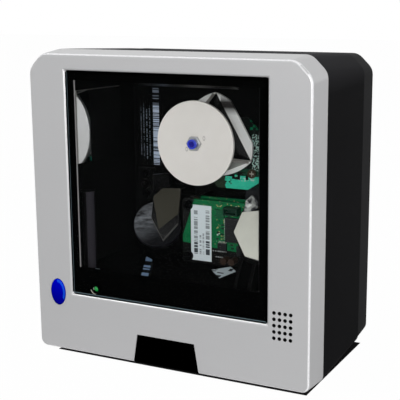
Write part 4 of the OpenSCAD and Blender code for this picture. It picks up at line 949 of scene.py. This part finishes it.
chipSpec = {"size": (1.3, 0.5, 0.7), "edge": 0.06, "body": 0.38, "back": 41.76,
            "places": [(10.9, 77.0), (15.3, 70.6), (9.2, 67.6), (11.6, 65.6), (11.6, 63.8), (9.0, 61.4),
                       (11.4, 60.6), (16.8, 55.4), (17.2, 53.6), (8.6, 58.0), (24.6, 60.2), (24.8, 66.4),
                       (7.8, 73.6), (7.6, 70.2)]}
chip = bit(chipSpec["size"], chipSpec["edge"])
for half in (-chipSpec["body"], chipSpec["body"]):
    score(chip, every, (half * mm, 0, 0), (1, 0, 0))
for part in chip.data.polygons:  # tinned ends
    part.material_index = 1 if abs(part.center.x) > chipSpec["body"] * mm else 0
places = [(x, chipSpec["back"], z) for x, z in chipSpec["places"]]
spread("boardResistors", chip, places, "chip_black", finishes["chip_black"], leadTin)

pinSpec = {"size": (0.7, 0.5, 0.7), "edge": 0.24, "back": 41.78,
           "rows": (((6.1, 51.3), (1.4, 0), 5), ((7.8, 48.2), (1.15, 0), 4))}
pins = [place for line in pinSpec["rows"] for place in row(*line, pinSpec["back"])]
spread("pinRow", bit(pinSpec["size"], pinSpec["edge"]), pins, "contact_gold", leadTin)

floorReflections = {  # painted reflections: small strips on wedges that stand on the tub's floor, painted with a mirrored label, mirrored bars and a pale streak
    "paleStrip": {"corners": [(9.5, 32.5, 43.7), (17.8, 38.5, 44.9), (23.0, 34.2, 44.0), (18.0, 24.8, 42.3)],
                  "finish": barLabel("paleStrip", (196, 208, 214), (20, 24, 28),
                                     [(9.0, 12.6, 29.0, 34.0, 0.9, 0.5, 1.0),
                                      (14.0, 17.6, 26.0, 31.0, 1.0, 0.55, 1.0),
                                      (18.6, 20.6, 33.6, 36.4, 1.2, 0.6, 1.0)], flat=True)},
    "barStrip": {"corners": [(-27.1, 29.0, 47.5), (-22.1, 26.7, 46.9), (-14.4, 8.4, 42.3),
                             (-19.3, 9.7, 42.5)],
                 "finish": barLabel("barStrip", (3, 4, 6), (122, 146, 178),
                                    [(-27.0, -12.0, 24.6, 28.6, 4.0, 1.0, 0.9),
                                     (-27.0, -12.0, 16.0, 20.6, 1.1, 0.5, 1.0),
                                     (-27.0, -12.0, 9.4, 13.6, 1.9, 0.6, 1.0)], flat=True)},
    "shardStrip": {"corners": [(-48.5, 11.9, 42.8), (-45.7, 11.9, 42.8), (-38.6, 8.5, 42.2),
                               (-43.7, 8.8, 42.3)],
                   "finish": paleEdge("shardStrip", (168, 196, 206), 0.3)},
}
stripSpec = {"edge": 0.06, "limit": 30, "level": 0.8}
wedgeFaces = [(3, 2, 1, 0), (4, 5, 6, 7)] + [(i, (i + 1) % 4, (i + 1) % 4 + 4, i + 4) for i in range(4)]
for name, spec in floorReflections.items():
    tops = [at(*corner) for corner in spec["corners"]]
    feet = [at(x, d, tubSpec["floor"]) for x, d, z in spec["corners"]]
    mesh = bpy.data.meshes.new(name)
    mesh.from_pydata(tops + feet, [], wedgeFaces)
    strip = linked(name, mesh)
    wear(strip, finishes["tub_black"], spec["finish"])
    faceOut(strip)
    breakEdges(strip, stripSpec["edge"], stripSpec["limit"], segments=1)
    for part in strip.data.polygons:
        part.material_index = 1 if part.normal.z > stripSpec["level"] else 0
    settle(strip, None, "housing")

# painted highlight: a thin pale arc beside the LED's hole
arcSpec = {"centre": (-42.5, 2.98, 34.5), "radius": 2.75, "thick": 0.2, "sides": 10, "sweep": 80, "start": 12,
           "steps": 14}
arcCentre = at(*arcSpec["centre"])
bpy.ops.object.select_all(action="DESELECT")
bpy.ops.mesh.primitive_circle_add(vertices=arcSpec["sides"], radius=arcSpec["thick"] * mm, fill_type="NGON",
                                  location=arcCentre - Vector((arcSpec["radius"] * mm, 0, 0)))
arc = bpy.context.object
arc.name = "ledHoleGlint"
fixed()
mode("EDIT")
bpy.ops.mesh.select_all(action="SELECT")
bpy.ops.transform.rotate(value=radians(arcSpec["start"]), orient_axis="Y", center_override=arcCentre)
bpy.ops.mesh.spin(steps=arcSpec["steps"], angle=radians(arcSpec["sweep"]), center=arcCentre, axis=(0, 1, 0))
mode("OBJECT")
faceOut(arc)
wear(arc, paleGlint)
settle(arc, None, "housing")

clipSpec = {"outline": [(31.0, 28.6, 83.0), (34.3, 29.2, 86.1), (38.2, 28.6, 82.9), (38.0, 28.0, 80.0),
                        (34.2, 27.6, 77.4), (30.3, 27.6, 77.2)], "thick": 0.5, "fold": 1.6}
mesh = bpy.data.meshes.new("mirrorClip")
corners = [at(*corner) for corner in clipSpec["outline"]]
mesh.from_pydata(corners, [], [tuple(range(len(corners)))])
clip = linked("mirrorClip", mesh)
pick(clip, "FACE", every)
bpy.ops.mesh.poke(offset=clipSpec["fold"] * mm)  # a pressed ridge
bpy.ops.mesh.select_all(action="SELECT")
bpy.ops.mesh.solidify(thickness=clipSpec["thick"] * mm)
mode("OBJECT")
faceOut(clip)
wear(clip, clipSteel)
settle(clip, None, "housing", smooth=12)

print("stage: camera and light")

cameraSpec = {"lens": 89.4, "sensor": 36, "near": 0.01, "shift": 0.001, "place": (233.07, -407.78, 186.21),
              "yaw": 27.576, "pitch": 12.073, "roll": -0.544}
yaw, pitch, roll = (radians(cameraSpec[k]) for k in ("yaw", "pitch", "roll"))
ahead = Vector((-sin(yaw) * cos(pitch), cos(yaw) * cos(pitch), -sin(pitch)))
side = Vector((cos(yaw), sin(yaw), 0))
above = side.cross(ahead)
rightward = side * cos(roll) + above * sin(roll)
upward = above * cos(roll) - side * sin(roll)
bpy.ops.object.camera_add()
camera = bpy.context.object
camera.name = "photoCamera"
camera.data.lens = cameraSpec["lens"]
camera.data.shift_x = cameraSpec["shift"]
camera.data.sensor_width = cameraSpec["sensor"]
camera.data.clip_start = cameraSpec["near"]
turn = Matrix((rightward, upward, -ahead)).transposed().to_4x4()
camera.matrix_world = Matrix.Translation(at(*cameraSpec["place"])) @ turn
scene.camera = camera

aimPoint = Vector((0, 0, 0.08))
lamps = {
    "keyLamp": {"place": (-0.05, -1.25, 0.55), "size": (0.6, 0.5), "power": 1.2},
    "fillLamp": {"place": (0.86, -2.0, 0.42), "size": (0.5, 0.5), "power": 28.0},
    "sideLamp": {"place": (0.8, -0.3, 0.16), "size": (0.3, 0.28), "power": 2.5},
    "topLamp": {"place": (-0.52, -0.3, 1.02), "size": (0.34, 0.3), "power": 4.6},
}
for name, spec in lamps.items():
    bpy.ops.object.light_add(type="AREA", location=spec["place"])
    lamp = bpy.context.object
    lamp.name = name
    lamp.data.shape = "RECTANGLE"
    lamp.data.size, lamp.data.size_y = spec["size"]
    lamp.data.energy = spec["power"]
    lamp.rotation_euler = (aimPoint - Vector(spec["place"])).to_track_quat("-Z", "Y").to_euler()

skySpec = {"light": 0.2, "backdrop": 1.0}  # what falls on the part, and what is seen behind it
sky = Finish("studio", bpy.data.worlds.new("studio"), "ShaderNodeOutputWorld")
rays = sky.node("ShaderNodeLightPath", {}, {}, "Is Camera Ray")
seen = rays.most(rays.also("Is Transmission Ray").most(rays.also("Is Glossy Ray")))
lit, plain = (sky.node("ShaderNodeBackground", {}, {"Color": white, "Strength": skySpec[k]})
              for k in ("light", "backdrop"))
scene.world = sky.show(sky.node("ShaderNodeMixShader", {}, {0: seen, 1: lit, 2: plain}))

floorSpec = {"size": 6, "drop": -0.0002, "under": (-66.0, 74.9, 1.2, 80.0), "seen": 0.988, "mirrored": 0.45}
bpy.ops.mesh.primitive_plane_add(size=floorSpec["size"], location=(0, 0, floorSpec["drop"]))
floor = bpy.context.object
floor.name = "paleFloor"
fixed()


def floorPaint():
    f = Finish("paleFloor")
    x, d = f.axes("xd")
    left, right, near, far = floorSpec["under"]
    under = f.within(x, left, right) * f.within(d, near, far)  # painted shadow: near black where the part stands
    tone = f.mix(under, f.mix(f.noise(3.0), grey(0.6), grey(0.64)), grey(0.02))
    dull = f.node("ShaderNodeBsdfDiffuse", {}, {"Color": tone}, "BSDF")
    glow = f.node("ShaderNodeEmission", {}, {"Color": white, "Strength": 1.0}, "Emission")
    rays = f.node("ShaderNodeLightPath", {}, {}, "Is Camera Ray")
    shown = rays.most(rays.also("Is Transmission Ray")) * floorSpec["seen"]
    share = (shown + rays.also("Is Glossy Ray") * floorSpec["mirrored"]) * (1.0 - under)
    return f.show(f.node("ShaderNodeMixShader", {}, {0: share, 1: dull, 2: glow}, "Shader"))


wear(floor, floorPaint())
